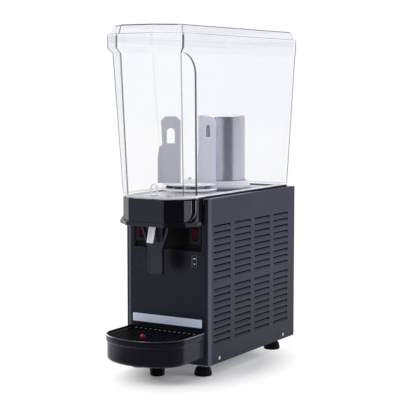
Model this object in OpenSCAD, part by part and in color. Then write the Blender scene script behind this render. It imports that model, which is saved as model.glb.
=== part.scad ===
// Cold drink dispenser with one clear bowl, drawn as separate pieces in one shared frame.
// Millimetres: X runs to the right, Y to the back, Z up from the floor. Front faces -Y.
// Lengths inside the modules are taken from the front edge of the side panels.

/* [Body] */
// Width over the side panels
body_w = 192; // [180:1:230]
// Depth of the side panels
body_d = 371; // [350:1:420]
// Height of the side panels
panel_h = 332; // [315:1:380]
// Height of the feet
foot_h = 21; // [14:1:40]
// Diameter of a foot at the floor
foot_d = 35; // [24:1:44]
// Sheet metal thickness
sheet_t = 1.2; // [0.8:0.1:2]
// Moulded wall thickness
wall_t = 3; // [2:0.5:4]
// Thickness of the deck under the bowl
deck_t = 10; // [6:1:16]

/* [Front panel] */
// Width of the flat face of the front panel
front_w = 173; // [160:1:176]
// Depth of the front panel's sides, behind their round edges
groove_d = 18; // [10:1:30]
// Height of the foot of the control recess above the floor
recess_z = 249; // [235:1:260]
// Depth of the control recess
recess_d = 8; // [5:1:14]
// Width of the plain label strip
label_w = 164; // [120:1:168]
// Height of the plain label strip
label_h = 16.5; // [10:0.5:24]
// Height of the label strip above the floor
label_z = 97; // [94:1:140]

/* [Louvres] */
// Length of one louvre
louvre_len = 66; // [50:1:72]
// Distance between louvre columns
louvre_col = 83.7; // [78:0.1:84]
// Distance between louvre rows
louvre_row = 13.2; // [11:0.1:14]
// Rows in each of the two groups
louvre_rows = 9; // [4:1:9]
// How far a louvre lip is pressed in, out of the sheet's plane
louvre_out = 1.8; // [1:0.1:3]

/* [Collar] */
// Reach of the collar in front of the body
collar_reach = 74.7; // [70:0.1:80]
// Width of the front facet of the collar
collar_face_w = 82; // [60:1:90]
// Height of the collar
collar_h = 45; // [40:1:50]
// Thickness of the hood plate with its lip
hood_t = 8; // [6:0.5:10]
// How far the lip stands out around the collar
lip_out = 5.8; // [3:0.1:9]

/* [Bowl] */
// Bowl height from its floor to the foot of the rim
bowl_h = 290; // [260:1:320]
// Height of the rim band
rim_h = 23.5; // [14:0.5:30]
// Bowl side inset from the body side
bowl_inset = 11; // [8:0.5:16]
// Bowl back inset from the body back at the floor
bowl_back = 12; // [6:1:20]
// Reach of the nose in front of the body at the floor
nose_reach = 75.5; // [70:0.5:80]
// Forward lean of the nose at the rim
nose_lean = 29; // [15:1:32]
// Backward lean of the back wall at the rim
back_lean = 31; // [15:1:33]
// Width of the front facet at the floor
nose_w = 82; // [60:1:90]
// Width of the front facet under the rim
nose_w_top = 72.5; // [55:0.5:90]
// Step of the rim behind the back wall
rim_back = 2.5; // [1:0.5:6]
// Step of the rim in front of the nose
rim_front = 9; // [4:0.5:12]
// Bowl wall thickness
bowl_t = 3; // [2:0.5:4]
// Thickness of the gasket between deck and bowl
gasket_t = 3; // [2:0.5:6]

/* [Lid] */
// Rise of the lid plateau above the lid flange
lid_rise = 17; // [10:0.5:30]
// Lid flange thickness
lid_t = 3; // [2:0.5:4]
// Depth of the lid skirt inside the rim
skirt_h = 13; // [6:0.5:18]

/* [Cooling] */
// Diameter of the evaporator cylinder
evap_d = 100; // [80:1:108]
// Height of the evaporator above the deck
evap_h = 158; // [130:1:200]
// Evaporator axis behind the panel front edge
evap_y = 216; // [212:1:224]
// Height of the white seal ring around the evaporator
seal_h = 14; // [8:1:20]
// Diameter of the compressor shell
comp_d = 118; // [90:1:124]
// Height of the compressor shell
comp_h = 140; // [110:1:160]
// Diameter of the condenser fan
fan_d = 140; // [110:1:150]

/* [Stirrer] */
// Stirrer axis behind the panel front edge
stir_y = 86; // [82:1:90]
// Diameter of the stirrer rotor
rotor_d = 112; // [90:1:116]
// Width of a stirrer blade
blade_w = 40; // [26:1:42]
// Height of a stirrer blade above the rotor
blade_h = 136; // [100:1:160]
// Blade centre distance from the stirrer axis
blade_r = 38; // [34:1:39]
// Turn of the blade pair about the stirrer axis at rest
blade_turn = 31; // [0:1:90]
// Pitch of the rear blade about its own middle
blade_pitch = 40; // [0:1:60]
// Stirrer pin diameter
pin_d = 8; // [6:0.5:12]

/* [Tap] */
// Tap axis in front of the panel front edge
tap_y = 46; // [44:0.5:48]
// Outside diameter of the outlet sleeve
sleeve_d = 24; // [20:0.5:26]
// Barrel diameter
barrel_d = 26; // [22:0.5:28]
// Nozzle outside diameter
nozzle_d = 13; // [9:0.5:15]
// Nozzle tilt from upright
nozzle_tilt = 17.7; // [10:0.1:22]
// Paddle width
paddle_w = 34; // [30:1:46]
// Paddle height
paddle_h = 46; // [30:1:54]
// Lever thickness
lever_t = 7; // [4:0.5:8]

/* [Switches] */
// Switch position from the centre plane
switch_x = 63; // [58:0.5:66]
// Width of a red rocker
rocker_w = 12; // [9:0.5:15]
// Height of a red rocker
rocker_h = 22; // [18:0.5:24]
// Width of the cooling rocker
cool_w = 8.5; // [8:0.5:13]
// Height of the cooling rocker
cool_h = 19.5; // [18:0.5:24]

/* [Drip tray] */
// Reach of the tray in front of the body
tray_reach = 135; // [125:1:150]
// Width of the tray over its band
tray_w = 177; // [160:1:186]
// Straight part of the tray sides
tray_straight = 71; // [55:1:80]
// Height of the tray
tray_h = 53; // [45:1:56]
// Height of the tray floor underside above the ground
tray_z = 35; // [30:1:38]
// Distance between grille slots
slot_pitch = 11.4; // [9:0.1:16]
// Width of a grille slot
slot_w = 6; // [4:0.5:7.5]
// Diameter of the red float knob
float_d = 9.5; // [9:0.5:16]

/* [Clearances] */
// Running clearance of a turning or sliding fit, per side
run_gap = 0.05; // [0.02:0.01:0.1]
// Gap between loose pieces that rest on each other
seat_gap = 0.2; // [0.1:0.05:0.4]
// Gap around loose curved fits, per side
loose_gap = 0.3; // [0.2:0.05:0.5]

/* [Hidden] */
$fn = 64;
cut = 1;
round_n = 40;
half_w = body_w / 2;
x_in = half_w - sheet_t;
z_base = foot_h;
z_deck = foot_h + panel_h;
z_under = z_deck - deck_t;
pan_t = 1.5;
pan_h = 20;
flange_t = 2;
flange_gap = 0.2;
side_flange_y = groove_d + flange_t + flange_gap;
pan_front = side_flange_y + sheet_t;
rear_in = body_d - sheet_t;
front_hw = front_w / 2;
front_lift = 3;
flange_lap = 6;
rear_flange = 12;
fuse = 0.2;
recess_side = 5;
recess_hw = front_hw - recess_side;

// Vents in the floor and the back
vent_n = 3;
vent_pitch = 16;
vent_w = 6;
vent_front = 120;
vent_back = 190;
rear_vent_n = 9;
rear_vent_x = 44;
rear_vent_w = 64;
rear_vent_h = 6;
rear_vent_z = 80;
rear_vent_pitch = 15;

// Louvre pressing and its place
louvre_foot = 39;
louvre_group_gap = 8;
louvre_shift = 5;
louvre_cols = 4;
lip_h = 4.2;
lip_t = 0.9;
lip_root = 0.5;
louvre_slot_h = 7;

// Slanted grooves beside the paddle
slash_n = 3;
slash_len = 24;
slash_w = 2.4;
slash_deep = 1.5;
slash_tilt = 17;
slash_pitch = 13;
slash_top = 5;

label_t = 0.8;
slash_in = 24.5;
slash_x = front_hw - slash_in;

// Levels of the collar and hood
z_seat = z_deck + gasket_t;
z_bowl = z_seat + seat_gap;
z_collar = z_seat - collar_h - 1;
z_hood = z_collar - hood_t;
hood_plate_t = 3;
z_hood_in = z_hood + hood_plate_t;

// Plan corners: front facet, side corner, main side, back
function plan8(hb, yb, hc, yc, ha, ya, yr) =
  [[-hb, yb], [hb, yb], [hc, yc], [ha, ya], [ha, yr], [-ha, yr], [-ha, ya], [-hc, yc]];
function unit(v) = v / norm(v);
function inward(a, b) = let (d = unit(b - a)) [-d.y, d.x];
function meet(p, d, q, e) = p + d * (cross(q - p, e) / cross(d, e));
function turn_of(a, b, c) = cross(unit(b - a), unit(c - b));
function corner_in(a, b, c, t) =
  abs(turn_of(a, b, c)) < 0.001
    ? b + inward(a, b) * t
    : meet(b + inward(a, b) * t, b - a, b + inward(b, c) * t, c - b);
function inset_plan(pts, t) =
  let (n = len(pts))
  [for (i = [0 : n - 1]) corner_in(pts[(i + n - 1) % n], pts[i], pts[(i + 1) % n], t)];
function d_plan(hw, straight, reach, back) =
  concat(
    [[hw, -back], [-hw, -back]],
    [for (i = [0 : round_n])
      let (a = 180 + 180 * i / round_n)
      [hw * cos(a), -straight + (reach - straight) * sin(a)]]
  );

// Bowl plans at the floor, at the foot of the rim slope and at the rim
bowl_hw = half_w - bowl_inset;
bowl_yr = body_d - bowl_back;
facet_x = 29.5;
facet_y = 25.5;
facet_x_top = 42.8;
facet_y_top = 33;
side_gain = 2.3;
side_y = 25;
side_y_top = 33;
rim_step = 1.1;
rim_hw = bowl_hw + side_gain + rim_step;
rim_face_flare = 3.25;
rim_face_hw = nose_w_top / 2 + rim_face_flare;
rim_y_front = nose_reach + nose_lean + rim_front;
rim_y_back = bowl_yr + back_lean + rim_back;
rim_corner_y = nose_reach + nose_lean - facet_y_top + 5 * rim_step;
slope_h = 10;
front_y = (tray_reach - rim_y_back) / 2;
z_rim = z_bowl + bowl_h;
z_rim_top = z_rim + rim_h;
floor_t = 3.5;
z_floor = z_bowl + floor_t;
pin_seat = 1.5;
lug_y = body_d / 2 - 5;
lug_sink = 1;
lug_t = 5;
lug_len = 28;
lug_h = 7;
plan_floor = plan8(
  nose_w / 2, -nose_reach, nose_w / 2 + facet_x, -nose_reach + facet_y, bowl_hw, -side_y, bowl_yr
);
plan_top = plan8(
  nose_w_top / 2, -nose_reach - nose_lean, nose_w_top / 2 + facet_x_top,
  -nose_reach - nose_lean + facet_y_top, bowl_hw + side_gain, -side_y_top, bowl_yr + back_lean
);

// The side facets run out into square corners over this height under the rim
arch_h = 42;
arch_share = 1 - arch_h / (bowl_h - slope_h);
side_ease = 0.5;
plan_facet = plan_floor + (plan_top - plan_floor) * arch_share;
plan_crown = plan8(
  nose_w_top / 2, -nose_reach - nose_lean, bowl_hw + side_gain - 4 * side_ease,
  -nose_reach - nose_lean + facet_y_top, bowl_hw + side_gain, -side_y_top, bowl_yr + back_lean
);
plan_rim = plan8(
  rim_face_hw, -rim_y_front, rim_hw - side_ease, -rim_corner_y, rim_hw, -side_y_top, rim_y_back
);

// Round run-out at the foot of the collar's side facets
collar_r = 14;
arch_lap = 1;

// Gasket edge and width
gasket_in = 1;
gasket_w = 8;

// Collar and lip plans
collar_hw = bowl_hw;
plan_collar = plan8(
  collar_face_w / 2, -collar_reach, collar_face_w / 2 + facet_x, -collar_reach + facet_y,
  collar_hw, -side_y, 0
);
plan_lip = plan8(
  collar_face_w / 2 + 1, -collar_reach - lip_out, collar_face_w / 2 + facet_x + lip_out,
  -collar_reach + facet_y - lip_out / 2, collar_hw + lip_out / 2, -side_y - lip_out / 2, 0
);

// Lid levels and plans
z_lid = z_rim_top + seat_gap;
z_lid_top = z_lid + lid_t + lid_rise;
lid_side = 10.2;
lid_front = 11.5;
lid_ease = 1.25;
lid_foot_in = 5;
lid_skirt_gap = 0.8;
skirt_t = 2.5;
plan_plateau = plan8(
  rim_face_hw - 2 * lid_ease, -rim_y_front + lid_front, rim_hw - lid_side - side_ease,
  -rim_corner_y + lid_side + lid_ease, rim_hw - lid_side, -side_y_top, rim_y_back - lid_side + 2 * lid_ease
);

// Evaporator and its seal
evap_r = evap_d / 2;
evap_wall = 1.5;
evap_soft = 4;
coil_lift = 14;
evap_flange = 8;
evap_lip_t = 2;
floor_hole_r = evap_r + 2;
seal_out = 11;
seal_edge = 4;
seal_top = 5;
coil_wire = 3;
coil_turns = 8;
coil_pitch = 13;
coil_sides = 6;
coil_rings = 16;

// Stirrer levels
post_flange_t = 2;
post_flange = 5.6;
post_proud = 3;
z_rotor = z_floor + post_flange_t + seat_gap;
rotor_t = 4;
rotor_gap = 6.5;
rotor_top_t = 3;
z_blade = z_rotor + rotor_t + rotor_gap + rotor_top_t;
blade_t = 2;
hub_d = 24;
hub_h = 8;
magnet_d = 13;
magnet_n = 8;
magnet_turn = 42.5;
shaft_below = 4;
shaft_into = 1;
magnet_edge = 14;
rotor_core_in = 25;
rotor_lip = 2;
rotor_rib_turn = 20;
rotor_rib_out = 10;
rotor_rib_short = 8;
rotor_rib_t = 4;
magnet_ring = rotor_d / 2 - magnet_edge;
blade_clip = 9;
blade_fin = 7;
blade_fin_h = 74;
blade_waist = 2.5;
blade_fin_ease = 4;
blade_fin_low = 0.7;
blade_tab = 12;
blade_tab_in = 4;
slot_1_w = 16;
slot_1_h = 31;
slot_1_drop = 55;
slot_2_w = 12.5;
slot_2_h = 25;
slot_2_drop = 42;

// Drive under the deck
drive_t = 10;
drive_d = 84;
z_drive = z_under - drive_t - 3;
bracket_t = 2;
bracket_gap = 6;
z_bracket = z_drive - bracket_gap - bracket_t;
bracket_x = 52;
bracket_y = 32;
gearbox_d = 60;
gearbox_h = 32;
motor_d = 38;
motor_h = 34;

// Compressor, condenser and fan
comp_back = 42.8;
comp_y = rear_in - comp_back - comp_d / 2;
comp_lift = 10;
comp_z = z_base + pan_t + comp_lift;
comp_dome = 32;
comp_foot_t = 3;
comp_foot_w = 24;
comp_foot_x = 41;
comp_mount_d = 16;
comp_mount_in = 9;
cond_lead = 14.6;
cond_y = pan_front + cond_lead;
cond_t = 34;
cond_side = 20;
cond_hw = half_w - cond_side;
cond_plate_t = 2;
cond_edge = 4;
cond_fin_in = 2;
cond_tube_d = 9;
cond_tube_n = 6;
cond_tube_foot = 20;
cond_tube_pitch = 25;
cond_tube_out = 2;
cond_z = z_base + pan_t;
cond_h = 165;
fin_t = 1;
fin_gap = 7;
shroud_y = cond_y + cond_t;
shroud_t = 2;
shroud_edge = 2;
fan_rise = 96;
fan_z = z_base + fan_rise;
fan_stand = 14;
fan_y = shroud_y + fan_stand;
fan_hub_d = 34;
fan_hub_t = 14;
fan_blades_n = 5;
fan_blade_chord = 28;
fan_blade_t = 1.8;
fan_blade_pitch = 24;
fan_root = 4;
fan_ring_gap = 4;
shroud_hw = max(cond_hw, fan_d / 2 + fan_ring_gap + shroud_edge);
fan_motor_d = 46;
fan_motor_t = 34;
fan_motor_gap = 6;
fan_shaft_d = 5;
fan_shaft_in = 11;
fan_bore_in = 13;
fan_bar_w = 14;
fan_bar_y = fan_y + fan_hub_t / 2 + fan_motor_gap + fan_motor_t;
pipe_d = 8;
suction_x = 12;
suction_back = 22;
suction_sink = 30;
suction_top = 50;
suction_turn = 22;
suction_port = 24;
suction_sleeve = 1;
liquid_side = 14;
liquid_bend = 14;
liquid_rise = 40;
liquid_run = 60;
hot_pipe_side = 3;
hot_pipe_rise = 60;

// Tap levels
tap_half = 18;
tap_drop = 11;
tap_top = z_bowl - tap_drop;
sleeve_len = 22;
z_sleeve = z_bowl - sleeve_len;
barrel_z = z_hood_in + barrel_d / 2 + 2;
sleeve_bore = 12;
plug_short = 13;
plug_flange = 2.5;
plug_flange_t = 2;
loop_r = 7;
loop_wire = 3.2;
loop_leg = 14.8;
flow_d = 6;
tap_depth = 18;
arm_x = 27;
arm_t = 4;
lever_front = 43.6;
nozzle_len = 41;
nozzle_start = 4.4;
nozzle_disc_d = 24;
nozzle_disc_t = 2.8;
nozzle_wall = 2;
nozzle_sink = 1.5;
nozzle_root = 4;
nozzle_through = 12;
flow_turn = 27;
seal_in = 4;
seal_ease = 0.05;
paddle_clip = 3;
dish_side = 4;
dish_foot = 6;
dish_deep = 0.8;
arm_drop = 6;
arm_toe = 5;
arm_heel = 4;
spring_play = 0.6;
peg_head = 3;
peg_head_t = 3;
deck_ledge = 6;
float_play = 2;
float_ring = 4;
knob_dip = 3;
knob_rise = 5;
web_gap = 4;
web_h = 32;
neck_h = 16;
web_top = z_hood - web_gap;
web_foot = web_top - web_h;
neck_foot = web_foot - neck_h;
paddle_top = neck_foot;
paddle_foot = paddle_top - paddle_h;
web_w = 35;
neck_w = 30;
slot_half = 4;
slot_front = 16;
slot_back = 20;
spring_wire = 1.6;
spring_turns = 3;
spring_pitch = 2.3;
spring_rings = 24;
seal_wire = 2;

// Switches
frame_w = 28;
frame_h = 40;
switch_rise = 13;
switch_z = recess_z + switch_rise + frame_h / 2;
frame_t = 4;
frame_gap = 0.6;
frame_lap = 3;
snap_gap = 0.1;
sleeve_wall = 1.5;
rocker_play = 2;
rocker_deep = 2.5;
rocker_proud = 2.2;
rocker_dip = 0.6;
rocker_skirt = 1.4;
rocker_taper = 2.6;
cool_play = 1.4;
cool_deep = 3;
cool_hinge = wall_t + 2;
cool_lug = 8;
cool_drop = 20;
cool_z = recess_z - cool_drop;
cool_side = 21.5;
cool_x = front_hw - cool_side;
cool_border = 1.75;
cool_border_z = 2.25;
cool_frame_w = cool_w + 2 * cool_border;
cool_frame_h = cool_h + 2 * cool_border_z;
cool_frame_t = 1.2;
frame_round = 2;
pivot_d = 3;
pivot_in = 2;

// Drip tray
tray_hw = tray_w / 2;
band_h = 13;
band_out = 1.5;
band_front = 4;
tray_wall = 2.5;
tray_gap = 1;
tray_floor = 3;
tray_leg_y = 36;
tray_leg_d = 34;
tray_leg_tip = 29;
tray_leg_lift = 0.6;
grille_t = 3.4;
grille_drop = 2.4;
grille_edge = 3.2;
grille_side_gap = 0.6;
ledge_w = 3;
z_tray_top = tray_z + tray_h;
z_grille = z_tray_top - grille_drop - grille_t;
float_y = 88;
float_base_d = 26;
float_base_t = 7;
float_stem_d = 5;
peg_side = 28.5;
peg_x = tray_hw - peg_side;
peg_d = 8;
peg_len = 22;
peg_rise = 27;
peg_z = tray_z + peg_rise;
peg_boss = 16;
peg_boss_len = 18;
peg_boss_pad = 5;
peg_boss_back = 1;

// Rear fittings
rear_side = 38;
gland_x = -half_w + rear_side;
gland_rise = 45;
gland_z = z_base + gland_rise;
gland_d = 16;
gland_in = 14;
gland_nut = 3;
gland_nut_t = 5;
gland_tail = 16;
cord_bore_d = 8;
knob_x = half_w - rear_side;
knob_drop = 60;
knob_z = z_deck - knob_drop;
knob_d = 28;
knob_t = 12;
knob_gap = 1;
knob_mark_w = 2;
knob_mark_t = 1.5;
knob_mark_in = 3;
knob_shaft_d = 6;
knob_shaft_in = 18;
neck_d = 9.6;
neck_hole_d = 10;
neck_in = 4;
thermostat_w = 36;
thermostat_h = 44;
thermostat_t = 30;
shaft_bore_in = 24;
terminal_w = 40;
terminal_t = 20;
terminal_h = 18;
terminal_back = 16;
terminal_side = 4;
terminal_n = 3;
terminal_pitch = 12;
terminal_hole_d = 6;
terminal_deep = 12;

// Feet and screws
foot_side = 20;
foot_x = half_w - foot_side;
foot_front = 14;
foot_rear = 66;
foot_back = body_d - foot_rear;
foot_neck = 0.62;
foot_edge = 1;
foot_skirt = 4;
foot_screw_d = 5;
foot_head_d = 9.6;
foot_head_t = 3;
foot_web = 6;
foot_pocket_d = 11;
foot_nut_d = 9;
foot_nut_t = 4;
foot_stud = 8;
foot_pos = [[foot_x, foot_front], [-foot_x, foot_front], [foot_x, foot_back], [-foot_x, foot_back]];
screw_d = 7;
screw_t = 1.5;
screw_hole_d = 3.6;
screw_shank_d = 3.5;
screw_in = 7;
screw_front = 44;
screw_rear = 52;
screw_back = body_d - screw_rear;
screw_rise = 10;
screw_z = z_base + screw_rise;

// Moves a piece from the panel front edge to the shared frame
module placed() {
  translate([0, front_y, 0])
    children();
}

// Plain upright prism of a plan
module slab(pts, z, t) {
  translate([0, 0, z])
    linear_extrude(t)
      polygon(pts);
}

// Walls through several plans of the same number of corners
module loft(plans, levels) {
  n = len(plans[0]);
  last = len(plans) - 1;
  polyhedron(
    points = [for (k = [0 : last]) for (p = plans[k]) [p.x, p.y, levels[k]]],
    faces = concat(
      [[for (i = [0 : n - 1]) i]],
      [[for (i = [0 : n - 1]) last * n + n - 1 - i]],
      [for (k = [0 : last - 1]) for (i = [0 : n - 1])
        let (j = (i + 1) % n)
        [k * n + i, (k + 1) * n + i, (k + 1) * n + j]],
      [for (k = [0 : last - 1]) for (i = [0 : n - 1])
        let (j = (i + 1) % n)
        [k * n + i, (k + 1) * n + j, k * n + j]]
    )
  );
}

// Box between two corners
module block(a, b) {
  translate(a)
    cube(b - a);
}

// Cylinder along X, centred on a point
module rod_x(p, d, len) {
  translate(p)
    rotate([0, 90, 0])
      cylinder(d = d, h = len, center = true);
}

// Cylinder along Y that starts at a point
module rod_y(p, d, len) {
  translate(p)
    rotate([-90, 0, 0])
      cylinder(d = d, h = len);
}

// Cylinder along Z that starts at a point
module rod_z(p, d, len) {
  translate(p)
    cylinder(d = d, h = len);
}

// Box with rounded upright edges, seen from the front
module rounded_front(w, h, t, r) {
  rotate([90, 0, 0])
    linear_extrude(t)
      union() {
        square([w - 2 * r, h], center = true);
        square([w, h - 2 * r], center = true);
        for (sx = [-1, 1])
          for (sz = [-1, 1])
            translate([sx * (w / 2 - r), sz * (h / 2 - r)])
              circle(r);
      }
}

// Points of a round-wired coil along Z
function coil_ring(r, pitch, wire, t, sides) =
  [for (s = [0 : sides - 1])
    let (b = 360 * s / sides)
    [
      (r + wire / 2 * cos(b)) * cos(360 * t),
      (r + wire / 2 * cos(b)) * sin(360 * t),
      pitch * t + wire / 2 * sin(b)
    ]];

// One unbroken coil
module coil(r, pitch, wire, turns, rings, sides) {
  n = turns * rings;
  polyhedron(
    points = [for (k = [0 : n]) each coil_ring(r, pitch, wire, k / rings, sides)],
    faces = concat(
      [[for (s = [0 : sides - 1]) s]],
      [[for (s = [0 : sides - 1]) n * sides + sides - 1 - s]],
      [for (k = [0 : n - 1]) for (s = [0 : sides - 1])
        let (q = (s + 1) % sides)
        [k * sides + s, (k + 1) * sides + s, (k + 1) * sides + q]],
      [for (k = [0 : n - 1]) for (s = [0 : sides - 1])
        let (q = (s + 1) % sides)
        [k * sides + s, (k + 1) * sides + q, k * sides + q]]
    )
  );
}

// Filled corner outside a side facet, below level z, with a round run-out
module arch_corner(a, c, r, z, h) {
  d = unit(a - c);
  p = a - d * r;
  turn = atan2(-d.x, d.y);
  difference() {
    slab([p - [arch_lap, 0], [a.x, p.y], a, a - [2 * arch_lap, 0], p - [2 * arch_lap, -arch_lap]], z - h, h);
    translate([p.x, p.y, z])
      rotate([0, 0, turn])
        rotate([0, 90, 0])
          cylinder(r = r, h = 4 * r, center = true, $fn = 96);
  }
}

module base_pan() {
  color("DimGray")
    placed()
      difference() {
        union() {
          block([-x_in, pan_front, z_base], [x_in, rear_in, z_base + pan_h]);
          block([-x_in, 0, z_base], [x_in, pan_front + pan_t, z_base + pan_t]);
        }
        block(
          [-x_in + pan_t, pan_front + pan_t, z_base + pan_t],
          [x_in - pan_t, rear_in - pan_t, z_base + pan_h + cut]
        );
        for (p = foot_pos)
          rod_z([p.x, p.y, z_base - cut], foot_screw_d + 2 * run_gap, pan_t + 2 * cut);
        for (i = [-vent_n : vent_n])
          block(
            [i * vent_pitch - vent_w / 2, vent_front, z_base - cut],
            [i * vent_pitch + vent_w / 2, vent_back, z_base + pan_t + cut]
          );
        for (sx = [-1, 1])
          for (y = [screw_front, screw_back])
            rod_x([sx * x_in, y, screw_z], screw_hole_d, 4 * pan_t);
        rod_y([gland_x, rear_in - 2 * pan_t, gland_z], gland_d + 1, 3 * pan_t);
      }
}

// Right-hand side panel, with its folds and louvres
module side_sheet() {
  group_h = louvre_rows * louvre_row;
  lower_z = z_base + louvre_foot;
  upper_z = lower_z + group_h + louvre_group_gap;
  col_0 = (body_d - (louvre_cols - 1) * louvre_col - louvre_len) / 2 - louvre_shift;
  difference() {
    union() {
      block([x_in, 0, z_base], [half_w, body_d, z_deck]);
      block(
        [front_hw - flange_lap, side_flange_y, z_base + pan_t],
        [x_in + fuse, pan_front, z_under]
      );
      block(
        [x_in - rear_flange, rear_in - sheet_t, z_base + pan_h],
        [x_in + fuse, rear_in, z_under]
      );
    }
    for (g = [lower_z, upper_z])
      for (i = [0 : louvre_rows - 1])
        for (c = [0 : louvre_cols - 1])
          translate([x_in - cut, col_0 + c * louvre_col, g + i * louvre_row])
            cube([sheet_t + 2 * cut, louvre_len, louvre_slot_h]);
    for (y = [screw_front, screw_back])
      rod_x([half_w, y, screw_z], screw_hole_d, 4 * sheet_t);
  }
  for (g = [lower_z, upper_z])
    for (i = [0 : louvre_rows - 1])
      for (c = [0 : louvre_cols - 1])
        translate([half_w, col_0 + c * louvre_col + louvre_len, g + i * louvre_row])
          rotate([90, 0, 0])
            linear_extrude(louvre_len)
              polygon([
                [-sheet_t, -lip_root], [0, -lip_root], [0, 0], [-louvre_out, lip_h],
                [-louvre_out - lip_t, lip_h], [-sheet_t, 0]
              ]);
}

module side_panel_right() {
  color("SlateGray")
    placed()
      side_sheet();
}

module side_panel_left() {
  color("SlateGray")
    placed()
      mirror([1, 0, 0])
        side_sheet();
}

module rear_panel() {
  color("SlateGray")
    placed()
      difference() {
        block([-x_in, rear_in, z_base], [x_in, body_d, z_deck]);
        for (sx = [-1, 1])
          for (i = [0 : rear_vent_n - 1])
            translate([
              sx * rear_vent_x - rear_vent_w / 2, rear_in - cut, z_base + rear_vent_z + i * rear_vent_pitch
            ])
              cube([rear_vent_w, sheet_t + 2 * cut, rear_vent_h]);
        rod_y([gland_x, rear_in - cut, gland_z], gland_d + 2 * run_gap, sheet_t + 2 * cut);
        rod_y([knob_x, rear_in - cut, knob_z], neck_hole_d, sheet_t + 2 * cut);
      }
}

module front_panel() {
  z_foot = z_base + front_lift;
  y_back = groove_d + flange_t;
  flange_hw = x_in - loose_gap;
  round_r = min(flange_hw - front_hw, y_back / 2);
  face_hw = flange_hw - round_r;
  color("DarkSlateGray")
    placed()
      difference() {
        union() {
          difference() {
            translate([0, 0, z_foot])
              linear_extrude(z_under - z_foot)
                union() {
                  translate([-face_hw, 0])
                    square([2 * face_hw, y_back]);
                  translate([-flange_hw, round_r])
                    square([2 * flange_hw, y_back - round_r]);
                  for (sx = [-1, 1])
                    translate([sx * face_hw, round_r])
                      circle(round_r);
                }
            block(
              [-front_hw + wall_t, wall_t, z_foot - cut],
              [front_hw - wall_t, y_back + cut, z_under + cut]
            );
          }
          block(
            [-recess_hw - wall_t, 0, recess_z - wall_t],
            [recess_hw + wall_t, recess_d + wall_t, z_under]
          );
        }
        block([-recess_hw, -cut, recess_z], [recess_hw, recess_d + wall_t + cut, z_under - wall_t]);
        for (i = [0 : slash_n - 1])
          translate([-slash_x, 0, cool_z + slash_top - i * slash_pitch])
            rotate([0, slash_tilt, 0])
              cube([slash_len, 2 * slash_deep, slash_w], center = true);
        block(
          [cool_x - cool_w / 2 - frame_gap, -cut, cool_z - cool_h / 2 - cool_play],
          [cool_x + cool_w / 2 + frame_gap, wall_t + cut, cool_z + cool_h / 2 + cool_play]
        );
        for (sx = [-1, 1]) {
          rod_y([sx * peg_x, -cut, peg_z], peg_d, wall_t + 2 * cut);
          rod_z(
            [sx * foot_x, foot_front, z_foot - cut],
            foot_nut_d + 2 * loose_gap,
            foot_stud + loose_gap + cut
          );
        }
      }
}

module label_strip() {
  color("LightSteelBlue")
    placed()
      block([-label_w / 2, -label_t, label_z], [label_w / 2, 0, label_z + label_h]);
}

module deck() {
  color("WhiteSmoke")
    placed()
      difference() {
        block([-x_in, 0, z_under], [x_in, rear_in, z_deck]);
        for (sx = [-1, 1])
          block(
            [sx * (collar_hw + x_in + cut) / 2 - (x_in + cut - collar_hw) / 2, -cut, z_under - cut],
            [sx * (collar_hw + x_in + cut) / 2 + (x_in + cut - collar_hw) / 2, groove_d, z_deck + cut]
          );
        rod_z([0, evap_y, z_under - cut], evap_d - 2 * deck_ledge, deck_t + 2 * cut);
      }
}

module bowl_gasket() {
  outer = inset_plan(plan_floor, gasket_in);
  inner = inset_plan(plan_floor, gasket_in + gasket_w);
  color("Black")
    placed()
      difference() {
        slab(outer, z_deck, gasket_t);
        slab(inner, z_deck - cut, gasket_t + 2 * cut);
        block([-half_w, -2 * nose_reach, z_deck - cut], [half_w, wall_t, z_seat + cut]);
      }
}

module collar() {
  a = plan_collar[3];
  c = plan_collar[2];
  inner = inset_plan(plan_collar, wall_t);
  color("Black")
    placed()
      difference() {
        union() {
          slab(plan_collar, z_collar, collar_h);
          for (m = [0, 1])
            mirror([m, 0, 0])
              arch_corner(a, c, collar_r, z_collar + collar_r, collar_r);
        }
        slab(inner, z_collar - cut, collar_h + 2 * cut);
        block([-collar_hw + wall_t, -2 * wall_t, z_collar - cut], [collar_hw - wall_t, cut, z_deck + cut]);
      }
}

module hood_plate() {
  inner = inset_plan(plan_lip, 2 * lip_out);
  color("Black")
    placed()
      difference() {
        slab(plan_lip, z_hood, hood_t);
        slab(inner, z_hood_in, hood_t);
        rod_z([0, -tap_y - nozzle_start, z_hood - cut], nozzle_disc_d + 1, hood_t);
        for (sx = [-1, 1])
          block(
            [sx * (arm_x + arm_t / 2) - slot_half, -tap_y - slot_front, z_hood - cut],
            [sx * (arm_x + arm_t / 2) + slot_half, -tap_y + slot_back, z_hood_in + cut]
          );
      }
}

module control_plate() {
  color("Black")
    placed()
      difference() {
        block(
          [-recess_hw, recess_d, recess_z],
          [recess_hw, recess_d + wall_t, z_under - wall_t]
        );
        for (sx = [-1, 1])
          translate([sx * switch_x, recess_d + wall_t / 2, switch_z])
            cube([frame_w - 2 * frame_lap, 2 * wall_t, frame_h - 2 * frame_lap], center = true);
      }
}

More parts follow.
